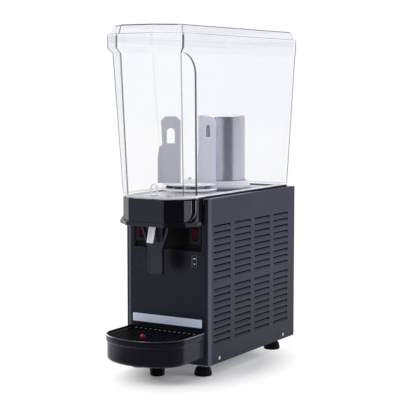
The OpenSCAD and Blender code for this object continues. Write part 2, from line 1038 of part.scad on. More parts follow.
// Frame around one red rocker, with its sleeve through the control plate
module switch_frame(x) {
  sleeve_w = frame_w - 2 * frame_lap - 2 * snap_gap;
  sleeve_h = frame_h - 2 * frame_lap - 2 * snap_gap;
  difference() {
    block(
      [x - frame_w / 2, recess_d - frame_t, switch_z - frame_h / 2],
      [x + frame_w / 2, recess_d, switch_z + frame_h / 2]
    );
    translate([x, recess_d - frame_t / 2, switch_z])
      cube([rocker_w + 2 * frame_gap, 2 * frame_t, rocker_h + 2 * rocker_play], center = true);
    rod_x(
      [x, recess_d - frame_t / 2, switch_z], pivot_d + 2 * run_gap,
      rocker_w + 2 * (frame_gap + pivot_in + seat_gap)
    );
  }
  translate([x, recess_d + wall_t, switch_z])
    difference() {
      cube([sleeve_w, 2 * wall_t, sleeve_h], center = true);
      cube([sleeve_w - 2 * sleeve_wall, 2 * wall_t + cut, sleeve_h - 2 * sleeve_wall], center = true);
    }
}

module switch_frames() {
  color("Black")
    placed() {
      switch_frame(switch_x);
      switch_frame(-switch_x);
    }
}

// Rocker with its pivot stubs, hinge along X at the middle of its height
module rocker_form(w, h, out, deep, stub) {
  rotate([90, 0, 90])
    translate([0, 0, -w / 2])
      linear_extrude(w)
        polygon([
          [-out - rocker_proud, h / 2], [-out, 0], [-out - rocker_dip, -h / 2],
          [-out + rocker_skirt, -h / 2], [deep, -h / 2 + rocker_taper], [deep, h / 2 - rocker_taper],
          [-out, h / 2]
        ]);
  rod_x([0, 0, 0], pivot_d, w + 2 * stub);
}

module rocker_left() {
  color("Red")
    placed()
      translate([-switch_x, recess_d - frame_t / 2, switch_z])
        rocker_form(rocker_w, rocker_h, frame_t / 2, rocker_deep, frame_gap + pivot_in);
}

module rocker_right() {
  color("Red")
    placed()
      translate([switch_x, recess_d - frame_t / 2, switch_z])
        rocker_form(rocker_w, rocker_h, frame_t / 2, rocker_deep, frame_gap + pivot_in);
}

module cool_frame() {
  color("White")
    placed()
      difference() {
        union() {
          translate([cool_x, 0, cool_z])
            rounded_front(cool_frame_w, cool_frame_h, cool_frame_t, frame_round);
          for (sx = [-1, 1])
            translate([cool_x + sx * (cool_w / 2 + frame_gap + pivot_in), wall_t + cool_lug / 2, cool_z])
              cube([2 * (pivot_in - snap_gap), cool_lug, cool_h + 2 * rocker_play], center = true);
        }
        translate([cool_x, 0, cool_z])
          cube([cool_w + 2 * frame_gap, 3 * cool_frame_t, cool_h + 2 * cool_play], center = true);
        rod_x(
          [cool_x, cool_hinge, cool_z], pivot_d + 2 * run_gap, cool_w + 2 * (frame_gap + pivot_in)
        );
      }
}

module cool_rocker() {
  color("Black")
    placed()
      translate([cool_x, cool_hinge, cool_z])
        rocker_form(cool_w, cool_h, cool_hinge, cool_deep, frame_gap + pivot_in - 2 * seat_gap);
}

// Outside or inside of the bowl, drawn in by t
module bowl_form(t, z_foot, z_top) {
  low = inset_plan(plan_floor, t);
  facet = inset_plan(plan_facet, t);
  crown = inset_plan(plan_crown, t);
  top = inset_plan(plan_rim, t);
  z_crown = z_rim - slope_h;
  loft([low, facet, crown, top, top], [z_foot, z_crown - arch_h, z_crown, z_rim, z_top]);
}

module bowl() {
  color("LightCyan", 0.4)
    placed()
      difference() {
        union() {
          difference() {
            bowl_form(0, z_bowl, z_rim_top);
            bowl_form(bowl_t, z_floor, z_rim_top + cut);
          }
          rod_z([0, -tap_y, z_sleeve], sleeve_d, sleeve_len + floor_t);
          for (sx = [-1, 1])
            translate([sx * (bowl_hw - lug_sink), lug_y, z_bowl + lug_h / 2])
              cube([lug_t, lug_len, lug_h], center = true);
        }
        rod_z([0, -tap_y, z_sleeve - cut], sleeve_bore, sleeve_len + floor_t + 2 * cut);
        rod_z([0, evap_y, z_bowl - cut], 2 * floor_hole_r, floor_t + 2 * cut);
        rod_z([0, stir_y, z_bowl + pin_seat], pin_d, floor_t);
      }
}

module evaporator_seal() {
  r_in = evap_r + loose_gap;
  color("White")
    placed()
      translate([0, evap_y, 0])
        rotate_extrude($fn = 96)
          polygon([
            [r_in, z_bowl], [floor_hole_r, z_bowl], [floor_hole_r, z_floor],
            [evap_r + seal_out, z_floor], [evap_r + seal_out, z_floor + seal_edge],
            [evap_r + seal_top, z_floor + seal_h], [r_in, z_floor + seal_h]
          ]);
}

module stirrer_post() {
  color("Silver")
    placed() {
      rod_z([0, stir_y, z_bowl + pin_seat], pin_d, z_blade + hub_h + post_proud - z_bowl - pin_seat);
      rod_z([0, stir_y, z_floor], pin_d + 2 * post_flange, post_flange_t);
    }
}

module outlet_plug() {
  z_foot = z_sleeve + plug_short;
  z_seat_plug = z_floor + seat_gap;
  z_loop = z_seat_plug + loop_leg;
  color("WhiteSmoke")
    placed()
      translate([0, -tap_y, 0]) {
        rod_z([0, 0, z_foot], sleeve_bore - 2 * loose_gap, z_seat_plug + plug_flange_t / 2 - z_foot);
        rod_z([0, 0, z_seat_plug], sleeve_bore + 2 * plug_flange, plug_flange_t);
        for (sx = [-1, 1])
          rod_z([sx * loop_r, 0, z_seat_plug + plug_flange_t / 2], loop_wire, loop_leg - plug_flange_t / 2);
        translate([0, 0, z_loop])
          rotate([90, 0, 0])
            rotate_extrude(angle = 180)
              translate([loop_r, 0])
                circle(d = loop_wire);
      }
}

module lid() {
  foot = inset_plan(plan_rim, lid_foot_in);
  skirt = inset_plan(plan_rim, bowl_t + lid_skirt_gap);
  color("LightCyan", 0.4)
    placed()
      difference() {
        union() {
          slab(plan_rim, z_lid, lid_t);
          loft([foot, plan_plateau], [z_lid + lid_t / 2, z_lid_top]);
          slab(skirt, z_lid - skirt_h, skirt_h + lid_t / 2);
        }
        loft(
          [inset_plan(foot, lid_t), inset_plan(plan_plateau, lid_t)],
          [z_lid + lid_t / 2 - 0.01, z_lid_top - lid_t]
        );
        slab(inset_plan(skirt, skirt_t), z_lid - skirt_h - cut, skirt_h + lid_t / 2 + cut);
      }
}

module evaporator() {
  z_top = z_deck + evap_h;
  soft = evap_soft;
  color("Silver")
    placed()
      translate([0, evap_y, 0])
        rotate_extrude($fn = 96)
          polygon(concat(
            [[evap_r - evap_wall, z_deck], [evap_r + evap_flange, z_deck]],
            [[evap_r + evap_flange, z_deck + evap_lip_t], [evap_r, z_deck + evap_lip_t]],
            [for (i = [0 : 6]) [evap_r - soft + soft * cos(15 * i), z_top - soft + soft * sin(15 * i)]],
            [[0, z_top], [0, z_top - evap_wall], [evap_r - evap_wall, z_top - evap_wall - soft]]
          ));
}

module evaporator_coil() {
  r = evap_r - evap_wall - coil_wire / 2 - loose_gap;
  echo(coil_gap = coil_pitch - coil_wire);
  color("Peru")
    placed()
      translate([0, evap_y, z_deck + coil_lift])
        coil(r, coil_pitch, coil_wire, coil_turns, coil_rings, coil_sides);
}

// One upright blade about its own middle, with a slot of the given size and a fin at its foot
module blade_form(slot_wide, slot_high, slot_low) {
  hw = blade_w / 2;
  rotate([90, 0, 0])
    translate([0, 0, -blade_t / 2])
      linear_extrude(blade_t)
        difference() {
          polygon([
            [-hw - blade_fin, 0], [hw, 0], [hw, blade_h - blade_clip], [hw - blade_clip, blade_h],
            [-hw + blade_clip, blade_h], [-hw, blade_h - blade_clip],
            [-hw + blade_waist, blade_fin_h + blade_fin_ease],
            [-hw - blade_fin / 2, blade_fin_h], [-hw - blade_fin, blade_fin_h * blade_fin_low]
          ]);
          translate([0, slot_low]) {
            translate([-slot_wide / 2, 0])
              square([slot_wide, slot_high - slot_wide / 2]);
            translate([0, slot_high - slot_wide / 2])
              circle(d = slot_wide);
          }
        }
  block([-hw + blade_tab_in, -fuse, 0], [hw - blade_tab_in, blade_tab, blade_t]);
}

module stirrer_blades() {
  color("Silver")
    placed()
      translate([0, stir_y, z_blade])
        rotate([0, 0, blade_turn]) {
          translate([-blade_r, 0, 0])
            blade_form(slot_1_w, slot_1_h, blade_h - slot_1_drop);
          translate([blade_r, 0, 0])
            rotate([0, 0, -blade_pitch])
              blade_form(slot_2_w, slot_2_h, blade_h - slot_2_drop);
        }
}

module stirrer_rotor() {
  color("White")
    placed()
      translate([0, stir_y, 0])
        difference() {
          union() {
            rod_z([0, 0, z_rotor], rotor_d, rotor_t);
            rod_z([0, 0, z_rotor], rotor_d - 2 * rotor_core_in, rotor_t + rotor_gap + 1);
            rod_z([0, 0, z_rotor + rotor_t + rotor_gap], rotor_d - 2 * rotor_lip, rotor_top_t);
            rod_z([0, 0, z_blade - 1], hub_d, hub_h + 1);
            for (i = [0 : 3])
              rotate([0, 0, 90 * i + rotor_rib_turn])
                translate([magnet_ring / 2 + rotor_rib_out, 0, z_rotor + rotor_t + rotor_gap / 2])
                  cube([magnet_ring - rotor_rib_short, rotor_rib_t, rotor_gap + 1], center = true);
          }
          rod_z([0, 0, z_rotor - cut], pin_d + 2 * run_gap, z_blade + hub_h - z_rotor + 2 * cut);
        }
}

module stirrer_magnets() {
  color("DimGray")
    placed()
      translate([0, stir_y, z_rotor + rotor_t])
        for (i = [0 : magnet_n - 1])
          rotate([0, 0, 360 * i / magnet_n + magnet_turn])
            rod_z([magnet_ring, 0, 0], magnet_d, rotor_gap);
}

module drive_magnet() {
  color("DimGray")
    placed() {
      rod_z([0, stir_y, z_drive], drive_d, drive_t);
      rod_z([0, stir_y, z_bracket - shaft_below], pin_d, z_drive - z_bracket + shaft_below + shaft_into);
    }
}

module motor_bracket() {
  color("Silver")
    placed()
      translate([0, stir_y, 0])
        difference() {
          union() {
            block([-bracket_x, -bracket_y, z_bracket], [bracket_x, bracket_y, z_bracket + bracket_t]);
            for (sx = [-1, 1])
              block(
                [sx * (bracket_x - 1) - 1, -bracket_y, z_bracket],
                [sx * (bracket_x - 1) + 1, bracket_y, z_under]
              );
          }
          rod_z([0, 0, z_bracket - cut], pin_d + 2 * run_gap, bracket_t + 2 * cut);
        }
}

module stirrer_motor() {
  z_gear = z_bracket - gearbox_h;
  color("Gray")
    placed()
      translate([0, stir_y, 0])
        difference() {
          union() {
            rod_z([0, 0, z_gear], gearbox_d, gearbox_h);
            rod_z([0, 0, z_gear - motor_h], motor_d, motor_h + 1);
          }
          rod_z([0, 0, z_bracket - 5], pin_d + 2 * run_gap, 6);
        }
}

// Half outline of the compressor's upper dome, from its widest level to its top
function dome_points() =
  [for (i = [0 : 8])
    [comp_d / 2 * cos(11.25 * i), comp_h - comp_dome + comp_dome * sin(11.25 * i)]];

module compressor() {
  r = comp_d / 2;
  color("Black")
    placed()
      translate([0, comp_y, comp_z]) {
        rotate_extrude($fn = 96)
          polygon(concat(
            [[0, 0]],
            [for (i = [0 : 8]) [r * cos(90 - 11.25 * i), comp_dome - comp_dome * sin(90 - 11.25 * i)]],
            dome_points()
          ));
        rod_z([0, 0, 0], 2 * comp_foot_x, comp_dome);
        for (sx = [-1, 1])
          block(
            [sx * comp_foot_x - comp_foot_w / 2, -r, 0],
            [sx * comp_foot_x + comp_foot_w / 2, r, comp_foot_t]
          );
        block([-comp_foot_x, -comp_foot_w / 2, 0], [comp_foot_x, comp_foot_w / 2, comp_foot_t]);
      }
}

module compressor_mounts() {
  color("DimGray")
    placed()
      for (sx = [-1, 1])
        for (sy = [-1, 1])
          rod_z(
            [sx * comp_foot_x, comp_y + sy * (comp_d / 2 - comp_mount_in), z_base + pan_t],
            comp_mount_d, comp_lift
          );
}

module condenser() {
  n = floor((2 * cond_hw - 2 * cond_edge) / fin_gap);
  color("Silver")
    placed() {
      for (sx = [-1, 1])
        translate([sx * (cond_hw - cond_plate_t / 2), cond_y + cond_t / 2, cond_z + cond_h / 2])
          cube([cond_plate_t, cond_t, cond_h], center = true);
      for (i = [0 : n])
        translate([(i - n / 2) * fin_gap, cond_y + cond_t / 2, cond_z + cond_h / 2])
          cube([fin_t, cond_t - 2 * cond_fin_in, cond_h - 2 * cond_edge], center = true);
      for (i = [0 : cond_tube_n - 1])
        rod_x(
          [0, cond_y + cond_t / 2, cond_z + cond_tube_foot + i * cond_tube_pitch],
          cond_tube_d, 2 * cond_hw + 2 * cond_tube_out
        );
    }
}

module fan_shroud() {
  bar_foot = fan_z - fan_bar_w / 2;
  bar_top = fan_z + fan_bar_w / 2;
  color("Gray")
    placed()
      union() {
        difference() {
          block([-shroud_hw, shroud_y, cond_z], [shroud_hw, shroud_y + shroud_t, cond_z + cond_h]);
          rod_y([0, shroud_y - cut, fan_z], fan_d + 2 * fan_ring_gap, shroud_t + 2 * cut);
        }
        for (sx = [-1, 1])
          block(
            [sx * (shroud_hw - shroud_t / 2) - shroud_t / 2, shroud_y, bar_foot],
            [sx * (shroud_hw - shroud_t / 2) + shroud_t / 2, fan_bar_y + shroud_t, bar_top]
          );
        block([-shroud_hw, fan_bar_y, bar_foot], [shroud_hw, fan_bar_y + shroud_t, bar_top]);
      }
}

module fan_motor() {
  color("DimGray")
    placed()
      difference() {
        rod_y([0, fan_bar_y - fan_motor_t, fan_z], fan_motor_d, fan_motor_t);
        rod_y(
          [0, fan_bar_y - fan_motor_t - cut, fan_z], fan_shaft_d + 2 * run_gap, fan_bore_in + cut
        );
      }
}

module fan_blades() {
  span = fan_d / 2 - fan_hub_d / 2 + fan_root;
  color("Gray")
    placed()
      translate([0, fan_y, fan_z]) {
        rod_y([0, -fan_hub_t / 2, 0], fan_hub_d, fan_hub_t);
        rod_y([0, 0, 0], fan_shaft_d, fan_hub_t / 2 + fan_motor_gap + fan_shaft_in);
        for (i = [0 : fan_blades_n - 1])
          rotate([0, 360 * i / fan_blades_n, 0])
            translate([fan_hub_d / 2 - fan_root, 0, 0])
              rotate([fan_blade_pitch, 0, 0])
                translate([0, -fan_blade_t / 2, -fan_blade_chord / 2])
                  cube([span, fan_blade_t, fan_blade_chord]);
      }
}

module suction_pipe() {
  z_foot = comp_z + comp_h - suction_sink;
  z_run = comp_z + comp_h + suction_turn;
  z_end = z_deck + evap_h - suction_top;
  y_up = evap_y + suction_back;
  y_port = comp_y - suction_port;
  d_run = pipe_d + 2 * suction_sleeve;
  color("Peru")
    placed()
      difference() {
        union() {
          rod_z([suction_x, y_up, z_run], pipe_d, z_end - z_run);
          rod_y([suction_x, min(y_up, y_port) - d_run / 2, z_run], d_run, abs(y_up - y_port) + d_run);
          rod_z([suction_x, y_port, z_foot], pipe_d, z_run - z_foot);
        }
        translate([0, comp_y, comp_z])
          rotate_extrude($fn = 96)
            polygon(concat([[0, 0]], dome_points()));
      }
}

module liquid_pipe() {
  x = -cond_hw + liquid_side;
  y = shroud_y - cond_t / 2;
  z_foot = cond_z + cond_h - cond_edge;
  z_run = cond_z + cond_h + liquid_rise;
  color("Peru")
    placed() {
      rod_z([x, y, z_foot], pipe_d, z_run - liquid_bend - z_foot);
      translate([x, y + liquid_bend, z_run - liquid_bend])
        rotate([90, 0, 90])
          rotate([0, 0, 90])
            rotate_extrude(angle = 90)
              translate([liquid_bend, 0])
                circle(d = pipe_d);
      rod_y([x, y + liquid_bend, z_run], pipe_d, liquid_run);
    }
}

module discharge_pipe() {
  x = -cond_hw + hot_pipe_side;
  x_end = -comp_d / 2 - seat_gap;
  y_start = shroud_y + shroud_t;
  z = cond_z + hot_pipe_rise;
  color("Peru")
    placed() {
      rod_y([x, y_start, z], pipe_d, comp_y - y_start);
      rod_x([(x + x_end) / 2, comp_y, z], pipe_d, x_end - x);
    }
}

module thermostat() {
  y_back = rear_in - sheet_t;
  color("DimGray")
    placed()
      difference() {
        union() {
          translate([knob_x, y_back - neck_in - thermostat_t / 2, knob_z])
            cube([thermostat_w, thermostat_t, thermostat_h], center = true);
          rod_y([knob_x, y_back - neck_in - cut, knob_z], neck_d, neck_in + cut + sheet_t);
        }
        rod_y([knob_x, y_back - shaft_bore_in, knob_z], knob_shaft_d + 2 * run_gap, 2 * shaft_bore_in);
      }
}

module thermostat_knob() {
  y_tip = rear_in - sheet_t - knob_shaft_in;
  y_face = body_d + knob_gap + knob_t;
  color("Black")
    placed()
      difference() {
        union() {
          rod_y([knob_x, body_d + knob_gap, knob_z], knob_d, knob_t);
          rod_y([knob_x, y_tip, knob_z], knob_shaft_d, body_d + 2 * knob_gap - y_tip);
        }
        block(
          [knob_x - knob_mark_w / 2, y_face - knob_mark_t, knob_z + knob_mark_in],
          [knob_x + knob_mark_w / 2, y_face + cut, knob_z + knob_d]
        );
      }
}

module cord_gland() {
  y_in = rear_in - gland_in;
  y_out = body_d + gland_tail;
  color("Black")
    placed()
      difference() {
        union() {
          rod_y([gland_x, y_in, gland_z], gland_d, body_d - y_in + cut);
          rod_y([gland_x, body_d, gland_z], gland_d + 2 * gland_nut, gland_nut_t);
          rod_y([gland_x, body_d + gland_nut_t - cut, gland_z], gland_d - 1, gland_tail - gland_nut_t + cut);
        }
        rod_y([gland_x, y_in - cut, gland_z], cord_bore_d, y_out - y_in + 2 * cut);
      }
}

module terminal_block() {
  x = gland_x - terminal_side;
  y = rear_in - terminal_back - terminal_t / 2;
  z_foot = z_base + pan_t;
  color("WhiteSmoke")
    placed()
      difference() {
        translate([x, y, z_foot + terminal_h / 2])
          cube([terminal_w, terminal_t, terminal_h], center = true);
        for (i = [0 : terminal_n - 1])
          rod_z(
            [x + (i - (terminal_n - 1) / 2) * terminal_pitch, y, z_foot + terminal_h - terminal_deep],
            terminal_hole_d, terminal_deep + cut
          );
      }
}

module feet() {
  r = foot_d / 2;
  dome = foot_h - 2 * foot_skirt;
  color("Black")
    placed()
      for (p = foot_pos)
        translate([p.x, p.y, 0])
          difference() {
            rotate_extrude()
              polygon(concat(
                [[0, 0], [r - foot_edge, 0], [r, foot_edge]],
                [for (i = [0 : 6])
                  [r * (foot_neck + (1 - foot_neck) * cos(15 * i)), foot_skirt + dome * sin(15 * i)]],
                [[r * foot_neck, foot_h], [0, foot_h]]
              ));
            rod_z([0, 0, -cut], foot_pocket_d, foot_h - foot_web + cut);
            rod_z([0, 0, 0], foot_screw_d + 2 * run_gap, foot_h + cut);
          }
}

module foot_screws() {
  color("Silver")
    placed()
      for (p = foot_pos) {
        rod_z([p.x, p.y, foot_h - foot_web], foot_screw_d, foot_web + pan_t + foot_stud);
        rod_z([p.x, p.y, foot_h - foot_web - foot_head_t], foot_head_d, foot_head_t);
        rod_z([p.x, p.y, z_base + pan_t], foot_nut_d, foot_nut_t);
      }
}

module panel_screws() {
  color("Silver")
    placed()
      for (sx = [-1, 1])
        for (y = [screw_front, screw_back]) {
          rod_x([sx * (half_w + screw_t / 2), y, screw_z], screw_d, screw_t);
          rod_x([sx * (half_w + (1 - screw_in) / 2), y, screw_z], screw_shank_d, screw_in + 1);
        }
}

module tap_body() {
  color("Black")
    placed()
      translate([0, -tap_y, 0])
        difference() {
          block([-tap_half, -tap_depth, z_hood_in], [tap_half, tap_depth, tap_top]);
          rod_z([0, 0, z_sleeve - 1], sleeve_d + 2 * loose_gap, sleeve_len);
          rod_z([0, 0, z_hood_in - cut], flow_d, z_sleeve - z_hood_in + 2 * cut);
          rod_x([0, 0, barrel_z], barrel_d + 2 * run_gap, 2 * tap_half + 2 * cut);
        }
}

module tap_barrel() {
  color("White")
    placed()
      translate([0, -tap_y, barrel_z])
        difference() {
          rod_x([0, 0, 0], barrel_d, 2 * arm_x);
          rotate([flow_turn, 0, 0])
            rod_z([0, 0, -barrel_d], flow_d, 2 * barrel_d);
          for (sx = [-1, 1])
            translate([sx * (tap_half - seal_in), 0, 0])
              rotate([0, 90, 0])
                difference() {
                  cylinder(d = barrel_d + cut, h = seal_wire, center = true);
                  cylinder(d = barrel_d - 2 * seal_wire, h = 2 * seal_wire, center = true);
                }
        }
}

module barrel_seals() {
  color("Black")
    placed()
      translate([0, -tap_y, barrel_z])
        for (sx = [-1, 1])
          translate([sx * (tap_half - seal_in), 0, 0])
            rotate([0, 90, 0])
              rotate_extrude()
                translate([barrel_d / 2 - seal_wire / 2 - seal_ease, 0])
                  circle(d = seal_wire - 2 * seal_ease);
}

module tap_nozzle() {
  z_0 = z_hood_in;
  color("White")
    placed()
      difference() {
        union() {
          rod_z([0, -tap_y - nozzle_start, z_0 - nozzle_disc_t], nozzle_disc_d, nozzle_disc_t);
          intersection() {
            translate([0, -tap_y - nozzle_start, z_0 - nozzle_sink])
              rotate([-nozzle_tilt, 0, 0])
                translate([0, 0, -nozzle_len + nozzle_root])
                  cylinder(d = nozzle_d, h = nozzle_len);
            block([-nozzle_d, -3 * tap_y, 0], [nozzle_d, 0, z_0]);
          }
        }
        translate([0, -tap_y - nozzle_start, z_0 - nozzle_sink])
          rotate([-nozzle_tilt, 0, 0])
            translate([0, 0, -nozzle_len])
              cylinder(d = nozzle_d - 2 * nozzle_wall, h = nozzle_len + nozzle_through);
      }
}

module tap_lever() {
  color("Black")
    placed() {
      difference() {
        translate([0, -lever_front + lever_t, 0])
          rotate([90, 0, 0])
            linear_extrude(lever_t)
              union() {
                translate([-paddle_w / 2, paddle_foot + paddle_clip])
                  square([paddle_w, paddle_h - paddle_clip]);
                translate([-paddle_w / 2 + paddle_clip, paddle_foot])
                  square([paddle_w - 2 * paddle_clip, paddle_h]);
                translate([-neck_w / 2, neck_foot - 1])
                  square([neck_w, web_foot - neck_foot + 2]);
                translate([-web_w / 2, web_foot])
                  square([web_w, web_top - web_foot]);
                for (sx = [-1, 1])
                  polygon([
                    [sx * arm_x, barrel_z - arm_drop], [sx * (arm_x + arm_t), barrel_z - arm_drop],
                    [sx * (arm_x + arm_t), web_top - arm_drop], [sx * neck_w / 2, neck_foot - 1],
                    [sx * (neck_w / 2 - arm_toe), neck_foot + arm_heel], [sx * arm_x, web_top - arm_heel]
                  ]);
              }
        block(
          [-paddle_w / 2 + dish_side, -lever_front - cut, paddle_foot + dish_foot],
          [paddle_w / 2 - dish_side, -lever_front + dish_deep, paddle_top - dish_side]
        );
      }
      for (sx = [-1, 1]) {
        rod_x([sx * (arm_x + arm_t / 2), -tap_y, barrel_z], barrel_d, arm_t);
        block(
          [sx * (arm_x + arm_t / 2) - arm_t / 2, -tap_y - arm_drop, web_top + 2],
          [sx * (arm_x + arm_t / 2) + arm_t / 2, -lever_front + lever_t, barrel_z]
        );
      }
    }
}

module lever_spring() {
  r = barrel_d / 2 + spring_wire / 2 + spring_play;
  echo(spring_gap = spring_pitch - spring_wire);
  color("Silver")
    placed()
      translate([tap_half + spring_wire / 2 + seat_gap, -tap_y, barrel_z])
        rotate([0, 90, 0])
          coil(r, spring_pitch, spring_wire, spring_turns, spring_rings, coil_sides);
}

module tray_pegs() {
  color("Silver")
    placed()
      for (sx = [-1, 1]) {
        rod_y([sx * peg_x, -peg_len, peg_z], peg_d, peg_len + wall_t);
        rod_y([sx * peg_x, wall_t, peg_z], peg_d + 2 * peg_head, peg_head_t);
      }
}

module drip_tray() {
  body_plan = d_plan(tray_hw - band_out, tray_straight, tray_reach - band_front, tray_gap);
  band_plan = d_plan(tray_hw, tray_straight, tray_reach, tray_gap);
  in_plan = d_plan(
    tray_hw - band_out - tray_wall - ledge_w, tray_straight,
    tray_reach - band_front - tray_wall - ledge_w, tray_gap + tray_wall
  );
  seat_plan = d_plan(
    tray_hw - tray_wall, tray_straight, tray_reach - tray_wall, tray_gap + tray_wall
  );
  color("Black")
    placed()
      difference() {
        union() {
          difference() {
            union() {
              slab(body_plan, tray_z, tray_h - 1);
              slab(band_plan, z_tray_top - band_h, band_h);
            }
            slab(in_plan, tray_z + tray_floor, tray_h);
            slab(seat_plan, z_grille - seat_gap, tray_h);
          }
          translate([0, -tray_leg_y, tray_leg_lift])
            cylinder(h = tray_z + tray_floor / 2 - tray_leg_lift, d1 = tray_leg_tip, d2 = tray_leg_d);
          for (sx = [-1, 1])
            rod_y(
              [sx * peg_x, -tray_gap - peg_boss_back - peg_boss_len - peg_boss_pad, peg_z],
              peg_boss,
              peg_boss_len + peg_boss_pad
            );
        }
        for (sx = [-1, 1])
          rod_y([sx * peg_x, -peg_len - cut, peg_z], peg_d + 2 * run_gap, peg_len + 2 * cut);
      }
}

module tray_grille() {
  grille_hw = tray_hw - tray_wall - grille_side_gap;
  grille_reach = tray_reach - tray_wall - grille_side_gap;
  back = tray_gap + tray_wall + grille_side_gap;
  n = floor((grille_hw - grille_edge - slot_w / 2) / slot_pitch);
  field = d_plan(
    grille_hw - grille_edge, tray_straight, grille_reach - grille_edge, back + grille_edge
  );
  color("Black")
    placed()
      difference() {
        slab(d_plan(grille_hw, tray_straight, grille_reach, back), z_grille, grille_t);
        difference() {
          intersection() {
            slab(field, z_grille - cut, grille_t + 2 * cut);
            for (i = [-n : n])
              block(
                [i * slot_pitch - slot_w / 2, -tray_reach, z_grille - cut],
                [i * slot_pitch + slot_w / 2, 0, z_grille + grille_t + cut]
              );
          }
          rod_z(
            [0, -float_y, z_grille - 2 * cut],
            float_d + 2 * (float_play + float_ring),
            grille_t + 4 * cut
          );
        }
        rod_z([0, -float_y, z_grille - cut], float_d + 2 * float_play, grille_t + 2 * cut);
      }
}

module tray_float() {
  z_0 = tray_z + tray_floor + seat_gap;
  z_knob = z_grille - knob_dip;
  color("Red")
    placed()
      translate([0, -float_y, 0]) {
        rod_z([0, 0, z_0], float_base_d, float_base_t);
        rod_z([0, 0, z_0], float_stem_d, z_knob - z_0 + 1);
        rod_z([0, 0, z_knob], float_d, grille_t + knob_rise);
        intersection() {
          translate([0, 0, z_knob + grille_t + knob_rise])
            sphere(d = float_d);
          rod_z([0, 0, z_knob], float_d + 2 * float_play, 2 * float_d);
        }
      }
}

base_pan();
side_panel_right();
side_panel_left();
rear_panel();
front_panel();
label_strip();
deck();
bowl_gasket();
collar();
hood_plate();
control_plate();
switch_frames();
rocker_left();
rocker_right();
cool_frame();
cool_rocker();
bowl();
evaporator_seal();
stirrer_post();
outlet_plug();
lid();
evaporator();
evaporator_coil();
stirrer_blades();
stirrer_rotor();
stirrer_magnets();
drive_magnet();
motor_bracket();
stirrer_motor();
compressor();
compressor_mounts();
condenser();
fan_shroud();
fan_motor();
fan_blades();
suction_pipe();
liquid_pipe();
discharge_pipe();
thermostat();
thermostat_knob();
cord_gland();
terminal_block();
feet();
foot_screws();
panel_screws();
tap_body();
tap_barrel();
barrel_seals();
tap_nozzle();
tap_lever();
lever_spring();
tray_pegs();
drip_tray();
tray_grille();
tray_float();
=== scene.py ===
import bpy
import bmesh
import math
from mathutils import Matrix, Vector


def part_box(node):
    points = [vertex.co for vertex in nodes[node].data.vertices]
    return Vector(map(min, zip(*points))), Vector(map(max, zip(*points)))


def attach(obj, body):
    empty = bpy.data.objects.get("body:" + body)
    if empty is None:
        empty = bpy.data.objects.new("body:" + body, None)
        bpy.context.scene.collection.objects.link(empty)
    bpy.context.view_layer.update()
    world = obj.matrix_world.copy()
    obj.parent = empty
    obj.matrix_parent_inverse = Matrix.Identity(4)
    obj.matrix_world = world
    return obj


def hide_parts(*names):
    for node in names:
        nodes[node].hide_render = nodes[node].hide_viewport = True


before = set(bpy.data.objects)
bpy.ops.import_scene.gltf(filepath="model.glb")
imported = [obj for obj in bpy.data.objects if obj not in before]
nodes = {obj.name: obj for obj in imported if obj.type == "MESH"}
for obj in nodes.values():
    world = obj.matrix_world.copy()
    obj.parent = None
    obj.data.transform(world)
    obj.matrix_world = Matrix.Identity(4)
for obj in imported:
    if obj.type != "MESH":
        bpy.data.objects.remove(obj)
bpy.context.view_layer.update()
scene = bpy.context.scene
scene.view_settings.view_transform = "Standard"
frontEdge = -128.75  # row y of the cabinet's front edge, mm
print("frame loaded:", len(nodes), "nodes")


def at(x, y, z):
    return Vector((x / 1000, (y + frontEdge) / 1000, z / 1000))


# camera, where the photograph was taken from
cameraSet = {"place": (1.3266, -2.18875, 0.578), "turn": 31.2347, "dip": 5.3812, "lens": 111.39, "sensor": 36}
cam = bpy.data.cameras.new("photoCamera")
cam.lens = cameraSet["lens"]
cam.sensor_width = cameraSet["sensor"]
camObj = bpy.data.objects.new("photoCamera", cam)
camObj.location = cameraSet["place"]
camObj.rotation_euler = (math.radians(90 - cameraSet["dip"]), 0, math.radians(cameraSet["turn"]))
scene.collection.objects.link(camObj)
scene.camera = camObj
print("camera set")


# node helpers: most of them return the socket that they end in
noiseSet = {"ramp": (0.3, 0.7), "span": (0.25, 0.75), "broad": 4.0, "fine": 2.0, "rough": (0.88, 1.12)}


def newFinish(name):
    mat = bpy.data.materials.new(name)
    mat.use_nodes = True
    tree = mat.node_tree
    return mat, tree, tree.nodes["Principled BSDF"]


def addNode(tree, kind, **values):
    node = tree.nodes.new(kind)
    for key, value in values.items():
        if key in node.inputs:
            node.inputs[key].default_value = value
        else:
            setattr(node, key, value)
    return node


def stretched(tree, stretch=(1, 1, 1)):
    coords = tree.nodes.new("ShaderNodeTexCoord")
    mapping = addNode(tree, "ShaderNodeMapping", Scale=stretch)
    tree.links.new(coords.outputs["Object"], mapping.inputs["Vector"])
    return mapping.outputs["Vector"]


def splitOf(tree, vector):
    split = tree.nodes.new("ShaderNodeSeparateXYZ")
    tree.links.new(vector, split.inputs[0])
    return split.outputs


def placeOf(tree):
    return splitOf(tree, stretched(tree))


def wayOf(tree):
    return splitOf(tree, tree.nodes.new("ShaderNodeNewGeometry").outputs["Normal"])


def facingOf(tree):
    return addNode(tree, "ShaderNodeLayerWeight", Blend=0.5).outputs["Facing"]


def mathOf(tree, operation, *values):
    node = addNode(tree, "ShaderNodeMath", operation=operation)
    for socket, value in zip(node.inputs, values):
        if isinstance(value, float):
            socket.default_value = value
        else:
            tree.links.new(value, socket)
    return node.outputs[0]


def spanOf(tree, value, start, end, low=0.0, high=1.0):
    limits = {"From Min": start, "From Max": end, "To Min": low, "To Max": high}
    span = addNode(tree, "ShaderNodeMapRange", **limits)
    tree.links.new(value, span.inputs["Value"])
    return span.outputs["Result"]


